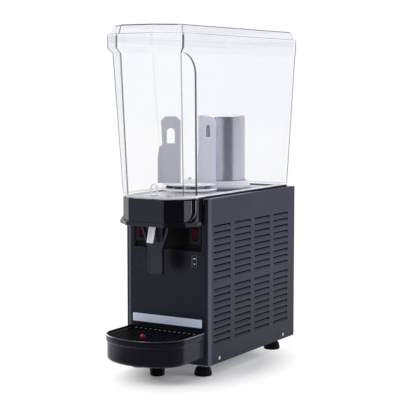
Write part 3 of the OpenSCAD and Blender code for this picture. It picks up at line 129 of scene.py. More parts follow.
def mixOf(tree, share, low, high):
    mix = addNode(tree, "ShaderNodeMix", data_type="FLOAT")
    mix.inputs[3].default_value = high
    tree.links.new(share, mix.inputs[0])
    tree.links.new(low, mix.inputs[2])
    return mix.outputs[0]


def noiseOn(tree, where, scale, detail):
    noise = addNode(tree, "ShaderNodeTexNoise", Scale=scale, Detail=detail)
    tree.links.new(where, noise.inputs["Vector"])
    return noise.outputs["Fac"]


def rampTo(tree, fac, socket, low, high):
    ramp = tree.nodes.new("ShaderNodeValToRGB")
    for element, place, colour in zip(ramp.color_ramp.elements, noiseSet["ramp"], (low, high)):
        element.position = place
        element.color = (*colour, 1)
    tree.links.new(fac, ramp.inputs["Fac"])
    tree.links.new(ramp.outputs["Color"], socket)


def bumpFrom(tree, fac, shader, strength, depth):
    bump = addNode(tree, "ShaderNodeBump", Strength=strength, Distance=depth)
    tree.links.new(fac, bump.inputs["Height"])
    tree.links.new(bump.outputs["Normal"], shader.inputs["Normal"])


# finishes: each one has its own grain, colour drift and bump
def surface(name, colour, rough, drift=0.08, grain=1400.0, bump=0.08, depth=0.0002, metal=0.0,
            stretch=(1, 1, 1), patch=9.0, gloss=0.5, sheen=(1, 1, 1, 1)):
    mat, tree, shader = newFinish(name)
    shader.inputs["Metallic"].default_value = metal
    shader.inputs["Specular IOR Level"].default_value = gloss
    shader.inputs["Specular Tint"].default_value = sheen
    where = stretched(tree, stretch)
    broad = noiseOn(tree, where, patch, noiseSet["broad"])
    fine = noiseOn(tree, where, grain, noiseSet["fine"])
    low = [c * (1 - drift) for c in colour]
    high = [min(1.0, c * (1 + drift)) for c in colour]
    rampTo(tree, broad, shader.inputs["Base Color"], low, high)
    dull = [rough * swing for swing in noiseSet["rough"]]
    tree.links.new(spanOf(tree, fine, *noiseSet["span"], *dull), shader.inputs["Roughness"])
    bumpFrom(tree, fine, shader, bump, depth)
    return mat


# clear finishes: alpha runs from facing to edge as a face turns away, and is behind on its back
clearBase = {"ior": 1.5, "patch": 14.0, "drift": 0.96, "rough": (0.032, 0.052)}


def clearFinish(name, colour, facing, edge, behind, power=1.2, start=0.0, end=1.0):
    mat, tree, shader = newFinish(name)
    shader.inputs["IOR"].default_value = clearBase["ior"]
    broad = noiseOn(tree, stretched(tree), clearBase["patch"], noiseSet["fine"])
    rampTo(tree, broad, shader.inputs["Base Color"], [c * clearBase["drift"] for c in colour], colour)
    tree.links.new(spanOf(tree, broad, *noiseSet["span"], *clearBase["rough"]), shader.inputs["Roughness"])
    turned = spanOf(tree, mathOf(tree, "POWER", facingOf(tree), power), start, end, facing, edge)
    back = tree.nodes.new("ShaderNodeNewGeometry").outputs["Backfacing"]
    tree.links.new(mixOf(tree, back, turned, behind), shader.inputs["Alpha"])
    return mat


coolSheen = (0.74, 0.74, 1.0, 1)  # the blacks reflect with a violet cast
redSheen = (1.0, 0.40, 0.66, 1)
finishes = {
    "charcoal_paint": surface("charcoalPaint", (0.029, 0.029, 0.047), 0.46, grain=1100, bump=0.16,
                              gloss=0.24, sheen=coolSheen),
    "panel_black": surface("panelBlack", (0.006, 0.006, 0.010), 0.30, grain=1500, bump=0.10,
                           gloss=0.26, sheen=coolSheen),
    "gloss_black": surface("glossBlack", (0.003, 0.003, 0.005), 0.12, grain=300, bump=0.02,
                           gloss=0.50, sheen=coolSheen),
    "satin_black": surface("satinBlack", (0.004, 0.004, 0.006), 0.32, grain=1800, bump=0.12,
                           gloss=0.20, sheen=coolSheen),
    "label_grey": surface("labelGrey", (0.72, 0.81, 1.0), 0.38, drift=0.02, grain=2200, bump=0.03),
    "stainless": surface("brushedStainless", (0.70, 0.70, 0.79), 0.33, drift=0.04, grain=260, bump=0.03,
                         depth=0.0001, metal=1.0, stretch=(1, 1, 0.04), patch=30),
    "white_plastic": surface("whitePlastic", (0.84, 0.84, 0.86), 0.32, drift=0.03, grain=900, bump=0.04),
    "pale_deck": surface("deckTop", (0.95, 0.95, 1.0), 0.34, drift=0.03, grain=900, bump=0.05),
    "red_plastic": surface("redPlastic", (0.40, 0.004, 0.018), 0.16, drift=0.10, grain=500, bump=0.03),
    "black_rubber": surface("blackRubber", (0.003, 0.003, 0.004), 0.55, grain=1200, bump=0.20, gloss=0.14),
    "white_rubber": surface("whiteRubber", (0.66, 0.66, 0.71), 0.50, drift=0.03, grain=900, bump=0.08),
    "zinc_sheet": surface("zincSheet", (0.52, 0.54, 0.57), 0.38, drift=0.14, grain=120, bump=0.05,
                          metal=1.0, patch=60),
    "silver_metal": surface("silverMetal", (0.80, 0.80, 0.82), 0.24, drift=0.06, grain=700, bump=0.04,
                            metal=1.0),
    "copper_tube": surface("copperTube", (0.68, 0.34, 0.20), 0.30, drift=0.16, grain=300, bump=0.05,
                           metal=1.0, patch=40),
    "motor_grey": surface("motorGrey", (0.10, 0.10, 0.11), 0.48, grain=800, bump=0.14),
    "magnet_dark": surface("magnetDark", (0.05, 0.05, 0.055), 0.55, drift=0.15, grain=1500, bump=0.12),
}
bladeSteel = surface("bladeSteel", (0.62, 0.62, 0.70), 0.50, drift=0.05, grain=500, bump=0.05, metal=0.35,
                     stretch=(1, 1, 0.06))
coldSteel = surface("coldSteel", (0.68, 0.68, 0.78), 0.24, drift=0.04, grain=260, bump=0.03, depth=0.0001,
                    metal=1.0, stretch=(1, 1, 0.04), patch=30)
# painted shade: a darker copy of the red plastic for the rockers in the recess
rockerShadedRed = surface("rockerShadedRed", (0.046, 0.0004, 0.006), 0.16, drift=0.12, grain=500, bump=0.02,
                    gloss=0.08, sheen=redSheen)
trayBlack = surface("trayBlack", (0.003, 0.003, 0.005), 0.13, grain=700, bump=0.03,
                    gloss=0.10, sheen=coolSheen)
# rim: real gloss, with a painted highlight blended into its colour further on
rimGlossAndHighlight = surface("rimGlossAndHighlight", (0.01, 0.01, 0.014), 0.10, grain=500, bump=0.02, gloss=0.6)
grilleBlack = surface("grilleBlack", (0.004, 0.004, 0.006), 0.5, grain=900, bump=0.05, gloss=0.02)
filterFelt = surface("filterFelt", (0.006, 0.006, 0.007), 0.85, drift=0.3, grain=2600, bump=0.5, gloss=0.1)
# painted shade: a darker, duller copy of satin black for the plate in the recess
recessShadedBlack = surface("recessShadedBlack", (0.003, 0.003, 0.004), 0.4, grain=1500, bump=0.06, gloss=0.08)
frameGrey = surface("frameGrey", (0.13, 0.13, 0.15), 0.4, grain=1200, bump=0.06)
# painted light for the collar's flutes and the panel's grooves: black shade, a grey reflection, pale
# highlights
paintedShadeBlack = surface("paintedShadeBlack", (0.002, 0.002, 0.003), 0.4, grain=1500, bump=0.05, gloss=0.06)
stripReflectionGrey = surface("stripReflectionGrey", (0.07, 0.07, 0.095), 0.3, grain=900, bump=0.04, gloss=0.3)
beadHighlightGrey = surface("beadHighlightGrey", (0.42, 0.42, 0.50), 0.25, grain=900, bump=0.03)
markWhite = surface("markWhite", (0.85, 0.85, 0.90), 0.5, drift=0.04, grain=900, bump=0.03)
clearWall = clearFinish("clearWall", (0.55, 0.56, 0.74), 0.020, 0.42, 0.020, power=2.5)
# painted shade and highlight on the clear shells: the faint, soft and dark edge finishes and the shoulder
# finish darken rounded corners, the bright edge finish pales them
clearFaint = clearFinish("clearFaintEdge", (0.05, 0.05, 0.09), 0.07, 0.98, 0.03, start=0.16, end=0.33)
clearSoft = clearFinish("clearSoftEdge", (0.06, 0.06, 0.10), 0.52, 1.0, 0.02)
clearDark = clearFinish("clearDarkEdge", (0.02, 0.02, 0.04), 0.86, 1.0, 0.02)
clearShoulder = clearFinish("clearShoulder", (0.05, 0.05, 0.09), 0.020, 0.90, 0.03, start=0.42, end=0.70)
clearBright = clearFinish("clearBrightEdge", (0.95, 0.95, 0.98), 0.60, 0.80, 0.40)
clearBand = clearFinish("clearTintBand", (0.42, 0.42, 0.60), 0.035, 0.42, 0.03, power=2.0)
clearFloor = clearFinish("clearFloorPlate", (0.93, 0.93, 0.97), 0.30, 0.55, 0.20)
clearInner = clearFinish("clearInnerFace", (0.50, 0.53, 0.60), 0.052, 0.08, 0.03)
finishes["clear_shell"] = clearWall
clearSet = [clearWall, clearFaint, clearSoft, clearDark, clearShoulder, clearBright, clearBand, clearFloor,
            clearInner]
wallTint, faintEdgeShade, softEdgeShade, darkEdgeShade, shoulderShade = range(5)
brightEdgeHighlight, bandTint, floorTint, innerTint = range(5, 9)


# painted light and shade on the finishes: where each starts and is full, in metres for a place, its colour
paintedLightSet = {
    "panel": {"facing": (0.20, 0.42), "flat": (0.998, 0.980), "colour": (0.13, 0.13, 0.16)},
    "tray": {"facing": (0.34, 0.52), "colour": (0.030, 0.030, 0.040)},
    "trayRimHighlight": {"facing": (0.42, 0.70), "colour": (0.95, 0.95, 1.0)},
    "slotEndHighlights": {"forward": (-0.5, -0.9), "rear": (-0.152, -0.148), "colour": (0.36, 0.36, 0.42)},
    "steelContactShade": {"reach": 0.028, "open": (0.85, 0.45), "colour": (0.16, 0.16, 0.22)},
    "steelReflectionStripe": {"x": -0.006, "half": (0.0085, 0.0065), "up": (0.4, 0.1), "colour": (0.16, 0.16, 0.21)},
    "sideFootShade": {"span": (0.20, 0.0), "colour": (0.012, 0.012, 0.020)},
    "sideFrontHighlight": {"span": (-0.112, -0.119), "colour": (0.062, 0.062, 0.085)},
    "bowlFloorPaintedLight": {"span": (-0.05, -0.11)},
    "deckRearShade": {"span": (-0.11, -0.05), "colour": (0.66, 0.66, 0.82)},
    "deckMarginShade": {"span": (0.0838, 0.0844), "colour": (0.30, 0.30, 0.40)},
    "deckGapShade": {"span": (0.04, 0.10), "colour": (0.010, 0.010, 0.014)},
}


def blendBase(mat, share, tone):
    tree = mat.node_tree
    base = tree.nodes["Principled BSDF"].inputs["Base Color"]
    mix = addNode(tree, "ShaderNodeMix", data_type="RGBA")
    tree.links.new(base.links[0].from_socket, mix.inputs[6])
    mix.inputs[7].default_value = (*tone["colour"], 1)
    tree.links.new(share, mix.inputs[0])
    tree.links.new(mix.outputs[2], base)


# front panel: painted sheen, its base colour pales on the rounded edges as they turn away
tone, mat = paintedLightSet["panel"], finishes["panel_black"]
tree = mat.node_tree
turned = spanOf(tree, facingOf(tree), *tone["facing"])
rounded = spanOf(tree, mathOf(tree, "ABSOLUTE", wayOf(tree)["Y"]), *tone["flat"])
blendBase(mat, mathOf(tree, "MULTIPLY", turned, rounded), tone)

# tray: painted sheen pales its wall a little as it turns away, and a painted highlight pales its rim much
for tone, mat in ((paintedLightSet["tray"], trayBlack), (paintedLightSet["trayRimHighlight"], rimGlossAndHighlight)):
    tree = mat.node_tree
    blendBase(mat, spanOf(tree, facingOf(tree), *tone["facing"]), tone)

# grille: painted highlight on the forward-facing rear ends of the slots
tone, tree = paintedLightSet["slotEndHighlights"], grilleBlack.node_tree
forward = spanOf(tree, wayOf(tree)["Y"], *tone["forward"])
rear = spanOf(tree, placeOf(tree)["Y"], *tone["rear"])
blendBase(grilleBlack, mathOf(tree, "MULTIPLY", forward, rear), tone)

# steel cylinder: painted shade beside its neighbours, and a painted reflection as a dark stripe down its
# front and back
tone, tree = paintedLightSet["steelContactShade"], coldSteel.node_tree
near = addNode(tree, "ShaderNodeAmbientOcclusion", samples=8, Distance=tone["reach"])
blendBase(coldSteel, spanOf(tree, near.outputs["AO"], *tone["open"]), tone)
tone = paintedLightSet["steelReflectionStripe"]
across = mathOf(tree, "ABSOLUTE", mathOf(tree, "SUBTRACT", placeOf(tree)["X"], tone["x"]))
upright = spanOf(tree, wayOf(tree)["Z"], *tone["up"])
blendBase(coldSteel, mathOf(tree, "MULTIPLY", spanOf(tree, across, *tone["half"]), upright), tone)

# side sheets: painted shade darkens them towards the foot, and a painted highlight pales them along the front
# edge
mat = finishes["charcoal_paint"]
place = placeOf(mat.node_tree)
for tone, axis in ((paintedLightSet["sideFootShade"], "Z"), (paintedLightSet["sideFrontHighlight"], "Y")):
    blendBase(mat, spanOf(mat.node_tree, place[axis], *tone["span"]), tone)

# bowl floor: painted light, its pale layer shows in the nose only
tree = clearFloor.node_tree
alpha = tree.nodes["Principled BSDF"].inputs["Alpha"]
nose = spanOf(tree, placeOf(tree)["Y"], *paintedLightSet["bowlFloorPaintedLight"]["span"])
tree.links.new(mathOf(tree, "MULTIPLY", alpha.links[0].from_socket, nose), alpha)

# deck: white under the nose, with painted shade: lavender behind, grey margins, a dark line in the gap at the
# rear
mat = finishes["pale_deck"]
tree = mat.node_tree
place = placeOf(tree)
tone = paintedLightSet["deckRearShade"]
blendBase(mat, spanOf(tree, place["Y"], *tone["span"]), tone)
tone = paintedLightSet["deckMarginShade"]
margin = spanOf(tree, mathOf(tree, "ABSOLUTE", place["X"]), *tone["span"])
blendBase(mat, margin, tone)
tone = paintedLightSet["deckGapShade"]
blendBase(mat, mathOf(tree, "MULTIPLY", margin, spanOf(tree, place["Y"], *tone["span"])), tone)
print("finishes made")


# every CAD node gets its finish, and the ones that show get softened edges, mm
edgeSet = {"weld": 1e-5, "segments": 2, "angle": 32}
softEdges = {
    "front_panel": 0.9, "collar": 0.8, "hood_plate": 0.8, "control_plate": 0.4, "switch_frames": 0.6,
    "rocker_left": 0.5, "rocker_right": 0.5, "cool_frame": 0.3, "cool_rocker": 0.4, "deck": 0.8,
    "label_strip": 0.15, "evaporator_seal": 0.8, "outlet_plug": 0.3, "stirrer_blades": 0.25,
    "stirrer_rotor": 0.6, "tap_lever": 1.0, "tap_nozzle": 0.5, "tray_grille": 0.4, "tray_float": 0.4,
    "feet": 0.5, "thermostat_knob": 0.8, "cord_gland": 0.6, "rear_panel": 0.25, "side_panel_right": 0.25,
    "side_panel_left": 0.25, "base_pan": 0.3, "tray_pegs": 0.4,
}
ownFinish = {
    "stirrer_blades": bladeSteel, "rocker_left": rockerShadedRed, "rocker_right": rockerShadedRed,
    "tray_grille": grilleBlack, "cool_frame": frameGrey, "evaporator": coldSteel,
    "control_plate": recessShadedBlack,
}
for name, obj in nodes.items():
    slot = obj.material_slots[0].material.name.split(".")[0]
    if slot not in finishes:
        print("no finish for", name, slot)
        continue
    for holder in obj.material_slots:
        holder.material = ownFinish.get(name, finishes[slot])
    if name in softEdges:
        weld = obj.modifiers.new("weld", "WELD")
        weld.merge_threshold = edgeSet["weld"]
        bevel = obj.modifiers.new("softEdge", "BEVEL")
        bevel.width = softEdges[name] / 1000
        bevel.segments = edgeSet["segments"]
        bevel.limit_method = "ANGLE"
        bevel.angle_limit = math.radians(edgeSet["angle"])
        bevel.harden_normals = True
print("nodes finished")


# outlines: plans with eight corners, counted from the left of the nose, each eased between two shoulders
easeSet = {"steps": 4, "rearShoulder": 2.4, "shoulder": 6.0, "room": 0.44, "shoulderRoom": 0.25}
noseCorners, cheekCorners, archCorners, rearCorners = (0, 1), (2, 7), (3, 6), (4, 5)


def eightPlan(hb, yb, hc, yc, ha, ya, yr):
    corners = ((-hb, yb), (hb, yb), (hc, yc), (ha, ya), (ha, yr), (-ha, yr), (-ha, ya), (-hc, yc))
    return [Vector(p) for p in corners]


def mixPlan(a, b, share):
    return [p + (q - p) * share for p, q in zip(a, b)]


def insetPlan(plan, t):
    inner = []
    for i, p in enumerate(plan):
        a = (p - plan[i - 1]).normalized()
        b = (plan[(i + 1) % len(plan)] - p).normalized()
        na, nb = Vector((-a.y, a.x)), Vector((-b.y, b.x))
        half = na + nb
        inner.append(p + half * (t / max(0.25, half.dot(na))))
    return inner


def easedPlan(plan, cuts):
    ring = []
    steps, room, shoulderRoom = easeSet["steps"], easeSet["room"], easeSet["shoulderRoom"]
    for i, p in enumerate(plan):
        shoulder = easeSet["rearShoulder"] if i in rearCorners else easeSet["shoulder"]
        before, after = plan[i - 1], plan[(i + 1) % len(plan)]
        roomA, roomB = (before - p).length * room, (after - p).length * room
        reachA, reachB = min(cuts[i], roomA), min(cuts[i], roomB)
        wayA, wayB = (before - p).normalized(), (after - p).normalized()
        a, b = p + wayA * reachA, p + wayB * reachB
        ring.append(p + wayA * (reachA + min(shoulder, roomA * shoulderRoom)))
        for s in range(steps + 1):
            t = s / steps
            ring.append(a * (1 - t) ** 2 + p * (2 * t * (1 - t)) + b * t * t)
        ring.append(p + wayB * (reachB + min(shoulder, roomB * shoulderRoom)))
    return ring


def zoneOf(i):
    steps = easeSet["steps"]
    corner, step = divmod(i, steps + 3)
    if step == steps + 2:
        return corner, "flat"
    return corner, "shoulder" if step in (0, steps + 1) else "edge"


# meshes: rings of points, skins between them, plates with holes
def ringOf(mesh, points, z):
    return [mesh.verts.new(at(p.x, p.y, z)) for p in points]


def easedRing(mesh, plan, cuts, z):
    return ringOf(mesh, easedPlan(plan, cuts), z)


def skin(mesh, low, high, paint=0, turned=False):
    made = []
    for i in range(len(low)):
        j = (i + 1) % len(low)
        corners = (low[i], low[j], high[j], high[i])
        face = mesh.faces.new(corners[::-1] if turned else corners)
        face.material_index = paint(i) if callable(paint) else paint
        face.smooth = True
        made.append(face)
    return made


def circlePoints(x, y, r, count):
    turns = [2 * math.pi * i / count for i in range(count)]
    return [Vector((x + r * math.cos(t), y + r * math.sin(t))) for t in turns]


def plateWithHoles(mesh, rings, up, tint=0):
    edges = []
    for ring in rings:
        for i in range(len(ring)):
            pair = (ring[i], ring[(i + 1) % len(ring)])
            edges.append(mesh.edges.get(pair) or mesh.edges.new(pair))
    made = bmesh.ops.triangle_fill(mesh, edges=edges, use_beauty=True, normal=(0, 0, 1 if up else -1))
    for face in made["geom"]:
        if isinstance(face, bmesh.types.BMFace):
            face.smooth = False
            face.material_index = tint
            if (face.normal.z > 0) != up:
                face.normal_flip()


quarterTurns = [math.radians(15 * i) for i in range(7)]  # for rounded edges


def sharpen(mesh, angle=34):
    for edge in mesh.edges:
        if len(edge.link_faces) == 2 and edge.calc_face_angle(0) > math.radians(angle):
            edge.smooth = False


def pieceFrom(mesh, name, materials, body, slot, *stoodFor):
    data = bpy.data.meshes.new(name)
    mesh.normal_update()
    sharpen(mesh)
    mesh.to_mesh(data)
    mesh.free()
    for mat in materials:
        data.materials.append(mat)
    obj = bpy.data.objects.new(name, data)
    scene.collection.objects.link(obj)
    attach(obj, body)
    if stoodFor:
        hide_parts(*stoodFor)


# bowl: clear faceted shell, with the side facets ending in a round arch under the rim
bowlSet = {
    "foot": 356.2, "floor": 359.7, "facetTop": 594.2, "crown": 636.2, "rim": 646.2, "top": 669.7, "wall": 3.0,
    "cuts": (1.9, 1.9, 1.4, 2.8, 5.0, 5.0, 2.8, 1.4), "rimCuts": (2.7, 2.7, 2.6, 1.0, 5.0, 5.0, 1.0, 2.6),
    "archSteps": 12, "archShare": 0.93, "footEdge": 1.2, "footRise": 5.2, "footShare": 0.022, "topEdge": 0.8,
    "innerEdge": 2.4, "innerRise": 3.0, "outlet": (0, -46, 6.0, 12.0, 334.2), "outletSteps": 40,
    "hole": (0, 216, 52.0), "holeSteps": 72, "lug": (84.0, 180.5, 28.0, 7.0, 5.0), "lugEdge": 1.2,
}
planFloor = eightPlan(41, -75.5, 70.5, -50, 85, -25, 359)
planFacet = eightPlan(36.9625, -100.15, 77.7675, -68.275, 86.955, -31.8, 385.35)
planCrown = eightPlan(36.25, -104.5, 79.05, -71.5, 87.3, -33, 390)
planRim = eightPlan(39.5, -113.5, 87.9, -77, 88.1, -72, 392.5)


def archPlan(turn):
    rise, share = math.sin(turn), 1 - math.cos(turn)
    plan = mixPlan(planFacet, planCrown, rise)
    for a, c in ((3, 2), (6, 7)):
        plan[a] = plan[a] + (plan[c] - plan[a]) * share * bowlSet["archShare"]
    return plan


def bowlLevels(inset, foot):
    footTop = bowlSet["foot"] + bowlSet["footRise"] + inset
    levels = [(planFloor, foot), (mixPlan(planFloor, planFacet, bowlSet["footShare"]), footTop)]
    for i in range(bowlSet["archSteps"] + 1):
        turn = math.radians(90) * i / bowlSet["archSteps"]
        height = bowlSet["facetTop"] + (bowlSet["crown"] - bowlSet["facetTop"]) * math.sin(turn)
        levels.append((archPlan(turn), height))
    levels += [(planRim, bowlSet["rim"]), (planRim, bowlSet["top"] - bowlSet["topEdge"])]
    return [(insetPlan(plan, inset) if inset else plan, z) for plan, z in levels]


# which finish each outer face of the bowl takes: painted shade on its rounded edges and shoulders, a painted
# highlight along its foot
def bowlPaint(level, levels):
    inRim, inSlope = level >= levels - 3, level == levels - 3

    def paint(i):
        corner, zone = zoneOf(i)
        if level < 2:
            return softEdgeShade if level == 0 and corner in (3, 4, 5) else brightEdgeHighlight
        if zone == "shoulder" and corner in rearCorners:
            return softEdgeShade
        if zone == "shoulder" and corner in noseCorners + cheekCorners:
            return shoulderShade
        if zone != "edge":
            return bandTint if inRim else wallTint
        if corner in archCorners:
            return bandTint if inRim else darkEdgeShade
        if corner in cheekCorners:
            return darkEdgeShade if inRim else softEdgeShade
        if corner in noseCorners:
            return shoulderShade if inSlope else faintEdgeShade
        return darkEdgeShade
    return paint


mesh = bmesh.new()
cuts, rimCuts = bowlSet["cuts"], bowlSet["rimCuts"]
outerRings = [easedRing(mesh, insetPlan(planFloor, bowlSet["footEdge"]), cuts, bowlSet["foot"])]
for plan, z in bowlLevels(0, bowlSet["foot"] + bowlSet["footEdge"]):
    outerRings.append(easedRing(mesh, plan, rimCuts if z >= bowlSet["rim"] else cuts, z))
outerRings.append(easedRing(mesh, insetPlan(planRim, bowlSet["topEdge"]), rimCuts, bowlSet["top"]))
innerFoot = insetPlan(planFloor, bowlSet["wall"] + bowlSet["innerEdge"])
innerTop = insetPlan(planRim, bowlSet["wall"] - bowlSet["topEdge"])
innerRings = [easedRing(mesh, innerFoot, cuts, bowlSet["floor"])]
for plan, z in bowlLevels(bowlSet["wall"], bowlSet["floor"] + bowlSet["innerRise"]):
    innerRings.append(easedRing(mesh, plan, cuts, z))
innerRings.append(easedRing(mesh, innerTop, cuts, bowlSet["top"]))
for i in range(len(outerRings) - 1):
    skin(mesh, outerRings[i], outerRings[i + 1], bowlPaint(i, len(outerRings) - 1))
for low, high in zip(innerRings, innerRings[1:]):
    skin(mesh, low, high, innerTint, turned=True)
skin(mesh, outerRings[-1], innerRings[-1], faintEdgeShade)
holeX, holeY, holeR = bowlSet["hole"]
holeRound = circlePoints(holeX, holeY, holeR, bowlSet["holeSteps"])
holeLow = ringOf(mesh, holeRound, bowlSet["foot"])
holeHigh = ringOf(mesh, holeRound, bowlSet["floor"])
skin(mesh, holeLow, holeHigh, faintEdgeShade, turned=True)
outletX, outletY, boreR, sleeveR, sleeveFoot = bowlSet["outlet"]
sleeveRound = circlePoints(outletX, outletY, sleeveR, bowlSet["outletSteps"])
boreRound = circlePoints(outletX, outletY, boreR, bowlSet["outletSteps"])
sleeveTop = ringOf(mesh, sleeveRound, bowlSet["foot"])
sleeveLow = ringOf(mesh, sleeveRound, sleeveFoot)
boreLow = ringOf(mesh, boreRound, sleeveFoot)
boreTop = ringOf(mesh, boreRound, bowlSet["floor"])
skin(mesh, sleeveLow, sleeveTop, wallTint)
skin(mesh, boreLow, sleeveLow, faintEdgeShade)
skin(mesh, boreLow, boreTop, wallTint, turned=True)
plateWithHoles(mesh, [outerRings[0], holeLow, sleeveTop], up=False, tint=wallTint)
plateWithHoles(mesh, [innerRings[0], holeHigh, boreTop], up=True, tint=floorTint)
lugX, lugY, lugLong, lugTall, lugThick = bowlSet["lug"]
for side in (-1, 1):
    lug = bmesh.ops.create_cube(mesh, size=1.0)["verts"]
    bmesh.ops.scale(mesh, verts=lug, vec=(lugThick / 1000, lugLong / 1000, lugTall / 1000))
    bmesh.ops.translate(mesh, verts=lug, vec=at(side * lugX, lugY, bowlSet["foot"] + lugTall / 2))
    lugEdges = list(dict.fromkeys(e for v in lug for e in v.link_edges))
    bmesh.ops.bevel(mesh, geom=lugEdges, offset=bowlSet["lugEdge"] / 1000, segments=2, affect="EDGES")
pieceFrom(mesh, "bowlShell", clearSet, "bowl", "clear_shell", "bowl")
print("bowl made")


# lid: stepped plateau with a skirt that drops inside the rim
lidSet = {
    "foot": 669.9, "flange": 672.9, "cavity": 671.4, "top": 689.9, "underTop": 686.9, "skirtFoot": 656.9,
    "cuts": (1.6, 1.6, 1.6, 1.2, 6.0, 6.0, 1.2, 1.6),
}
planPlateau = eightPlan(37.0, -102.0, 77.7, -65.55, 78.2, -33, 384.8)
planLid = eightPlan(39.5, -113.5, 87.9, -77, 88.4, -33, 392.5)

# outside and underside of the lid: outline, inset, height, tint of the skin above, painted edge shade for
# some
profile = [
    (planLid, 3.8, lidSet["foot"], wallTint), (planLid, 0.5, lidSet["foot"], wallTint),
    (planLid, 0, lidSet["foot"] + 0.6, bandTint), (planLid, 0, lidSet["flange"] - 0.8, faintEdgeShade),
    (planLid, 0.8, lidSet["flange"], wallTint), (planLid, 5.0, lidSet["flange"], bandTint),
    (planPlateau, -0.6, lidSet["top"] - 2.4, softEdgeShade), (planPlateau, 1.2, lidSet["top"], wallTint),
]
under = [
    (planLid, 3.8, lidSet["skirtFoot"] + 0.6, wallTint), (planLid, 4.4, lidSet["skirtFoot"], faintEdgeShade),
    (planLid, 5.7, lidSet["skirtFoot"], wallTint), (planLid, 6.3, lidSet["skirtFoot"] + 0.6, wallTint),
    (planLid, 6.3, lidSet["cavity"], wallTint), (planLid, 8.0, lidSet["cavity"], wallTint),
    (planPlateau, 3.0, lidSet["underTop"], wallTint),
]


def lidRing(mesh, plan, inset, z):
    return easedRing(mesh, insetPlan(plan, inset) if inset else plan, lidSet["cuts"], z)


# levels of the lid's outside: 2 and 3 are the rim, 5 the riser, 6 the plateau's edge; their edges take
# painted shade
def lidPaint(level, tint):
    def paint(i):
        corner, zone = zoneOf(i)
        if level == 6:
            return darkEdgeShade if corner in (0, 1, 7) else softEdgeShade
        if level not in (2, 3, 5) or zone != "edge" or corner in archCorners:
            return tint
        if corner in noseCorners or (level == 5 and corner in cheekCorners):
            return faintEdgeShade
        return darkEdgeShade
    return paint


mesh = bmesh.new()
overRings = [lidRing(mesh, plan, inset, z) for plan, inset, z, tint in profile]
underRings = overRings[:1] + [lidRing(mesh, plan, inset, z) for plan, inset, z, tint in under]
underTints = [wallTint] + [tint for plan, inset, z, tint in under]
for i in range(len(overRings) - 1):
    skin(mesh, overRings[i], overRings[i + 1], lidPaint(i, profile[i][3]))
for i in range(len(underRings) - 1):
    skin(mesh, underRings[i], underRings[i + 1], underTints[i], turned=True)
mesh.faces.new(overRings[-1])
mesh.faces.new(underRings[-1][::-1])
pieceFrom(mesh, "lidShell", clearSet, "lid", "clear_shell", "lid")
print("lid made")


# corner caps beside the collar, carrying the front panel's rounded edges up to the deck
capSet = {"x": (85.5, 94.4), "y": (0.4, 17.6), "z": (343.1, 352.9), "round": 8.0, "ease": (6, 9),
          "edge": ((0.0, 0.8), (0.25, 0.25), (0.8, 0.0))}


def cornerCap(mesh, side):
    (x0, x1), (y0, y1), (z0, z1), r = capSet["x"], capSet["y"], capSet["z"], capSet["round"]
    plan = [(x0, y1), (x0, y0)]
    for turn in quarterTurns:
        plan.append((x1 - r + r * math.sin(turn), y0 + r - r * math.cos(turn)))
    plan.append((x1, y1))
    midX, midY = (x0 + x1) / 2, (y0 + y1) / 2
    easeX, easeY = capSet["ease"]
    rings = []
    for pull, z in [(0.0, z0)] + [(pull, z1 - drop) for pull, drop in capSet["edge"]]:
        eased = [(x + (midX - x) * pull / easeX, y + (midY - y) * pull / easeY) for x, y in plan]
        rings.append([mesh.verts.new(at(side * x, y, z)) for x, y in eased])
    for low, high in zip(rings, rings[1:]):
        skin(mesh, low, high)
    mesh.faces.new(rings[0][::-1])
    mesh.faces.new(rings[-1])


mesh = bmesh.new()
for side in (1, -1):
    cornerCap(mesh, side)
bmesh.ops.recalc_face_normals(mesh, faces=mesh.faces)
pieceFrom(mesh, "cornerCaps", [finishes["panel_black"]], "body", "panel_black")
print("corner caps made")


# collar's side facets: a grey strip and a dark flute between pale beads, all sweeping forward at the foot;
# the grey is a painted reflection, the flute's black painted shade and the beads' paleness a painted
# highlight
fluteSet = {
    "c": (70.5, -49.2), "a": (85.0, -25.0), "top": 352.4, "foot": 310.0, "sweep": 20.0, "inner": 0.8,
    "outer": 27.0, "spread": 2.0, "turn": 85, "lift": 0.8, "pinch": 2.4, "dip": 0.2, "bead": 0.9,
    "thick": 0.6, "across": 36, "down": 22, "strip": 18, "ridges": (21, 35), "beads": (20, 21, 34, 35),
}


def flutePoint(share, way):
    wide = fluteSet["inner"] + (fluteSet["outer"] - fluteSet["inner"]) * way
    bend = fluteSet["foot"] + fluteSet["sweep"] + fluteSet["spread"] * (1 - way)
    if share < 0.5:
        return wide, fluteSet["top"] + (bend - fluteSet["top"]) * share * 2
    turn = math.radians(fluteSet["turn"]) * (share - 0.5) * 2
    tall = bend - fluteSet["foot"] - fluteSet["lift"] - fluteSet["pinch"] * (1 - way)
    return wide * math.cos(turn), bend - tall * math.sin(turn)


def collarFlute(mesh, side):
    c, a = Vector(fluteSet["c"]), Vector(fluteSet["a"])
    along = (a - c).normalized()
    out = Vector((along.y, -along.x))
    grid = []
    for i in range(fluteSet["down"] + 1):
        row = []
        for k in range(fluteSet["across"] + 1):
            wide, z = flutePoint(i / fluteSet["down"], k / fluteSet["across"])
            proud = fluteSet["dip"] + (fluteSet["bead"] if k in fluteSet["ridges"] else 0)
            p = c + along * wide + out * proud
            row.append(mesh.verts.new(at(side * p.x, p.y, z)))
        grid.append(row)
    for i in range(fluteSet["down"]):
        for k in range(fluteSet["across"]):
            face = mesh.faces.new((grid[i][k], grid[i][k + 1], grid[i + 1][k + 1], grid[i + 1][k]))
            face.material_index = 1 if k in fluteSet["beads"] else 2 if k < fluteSet["strip"] else 0
            face.smooth = True


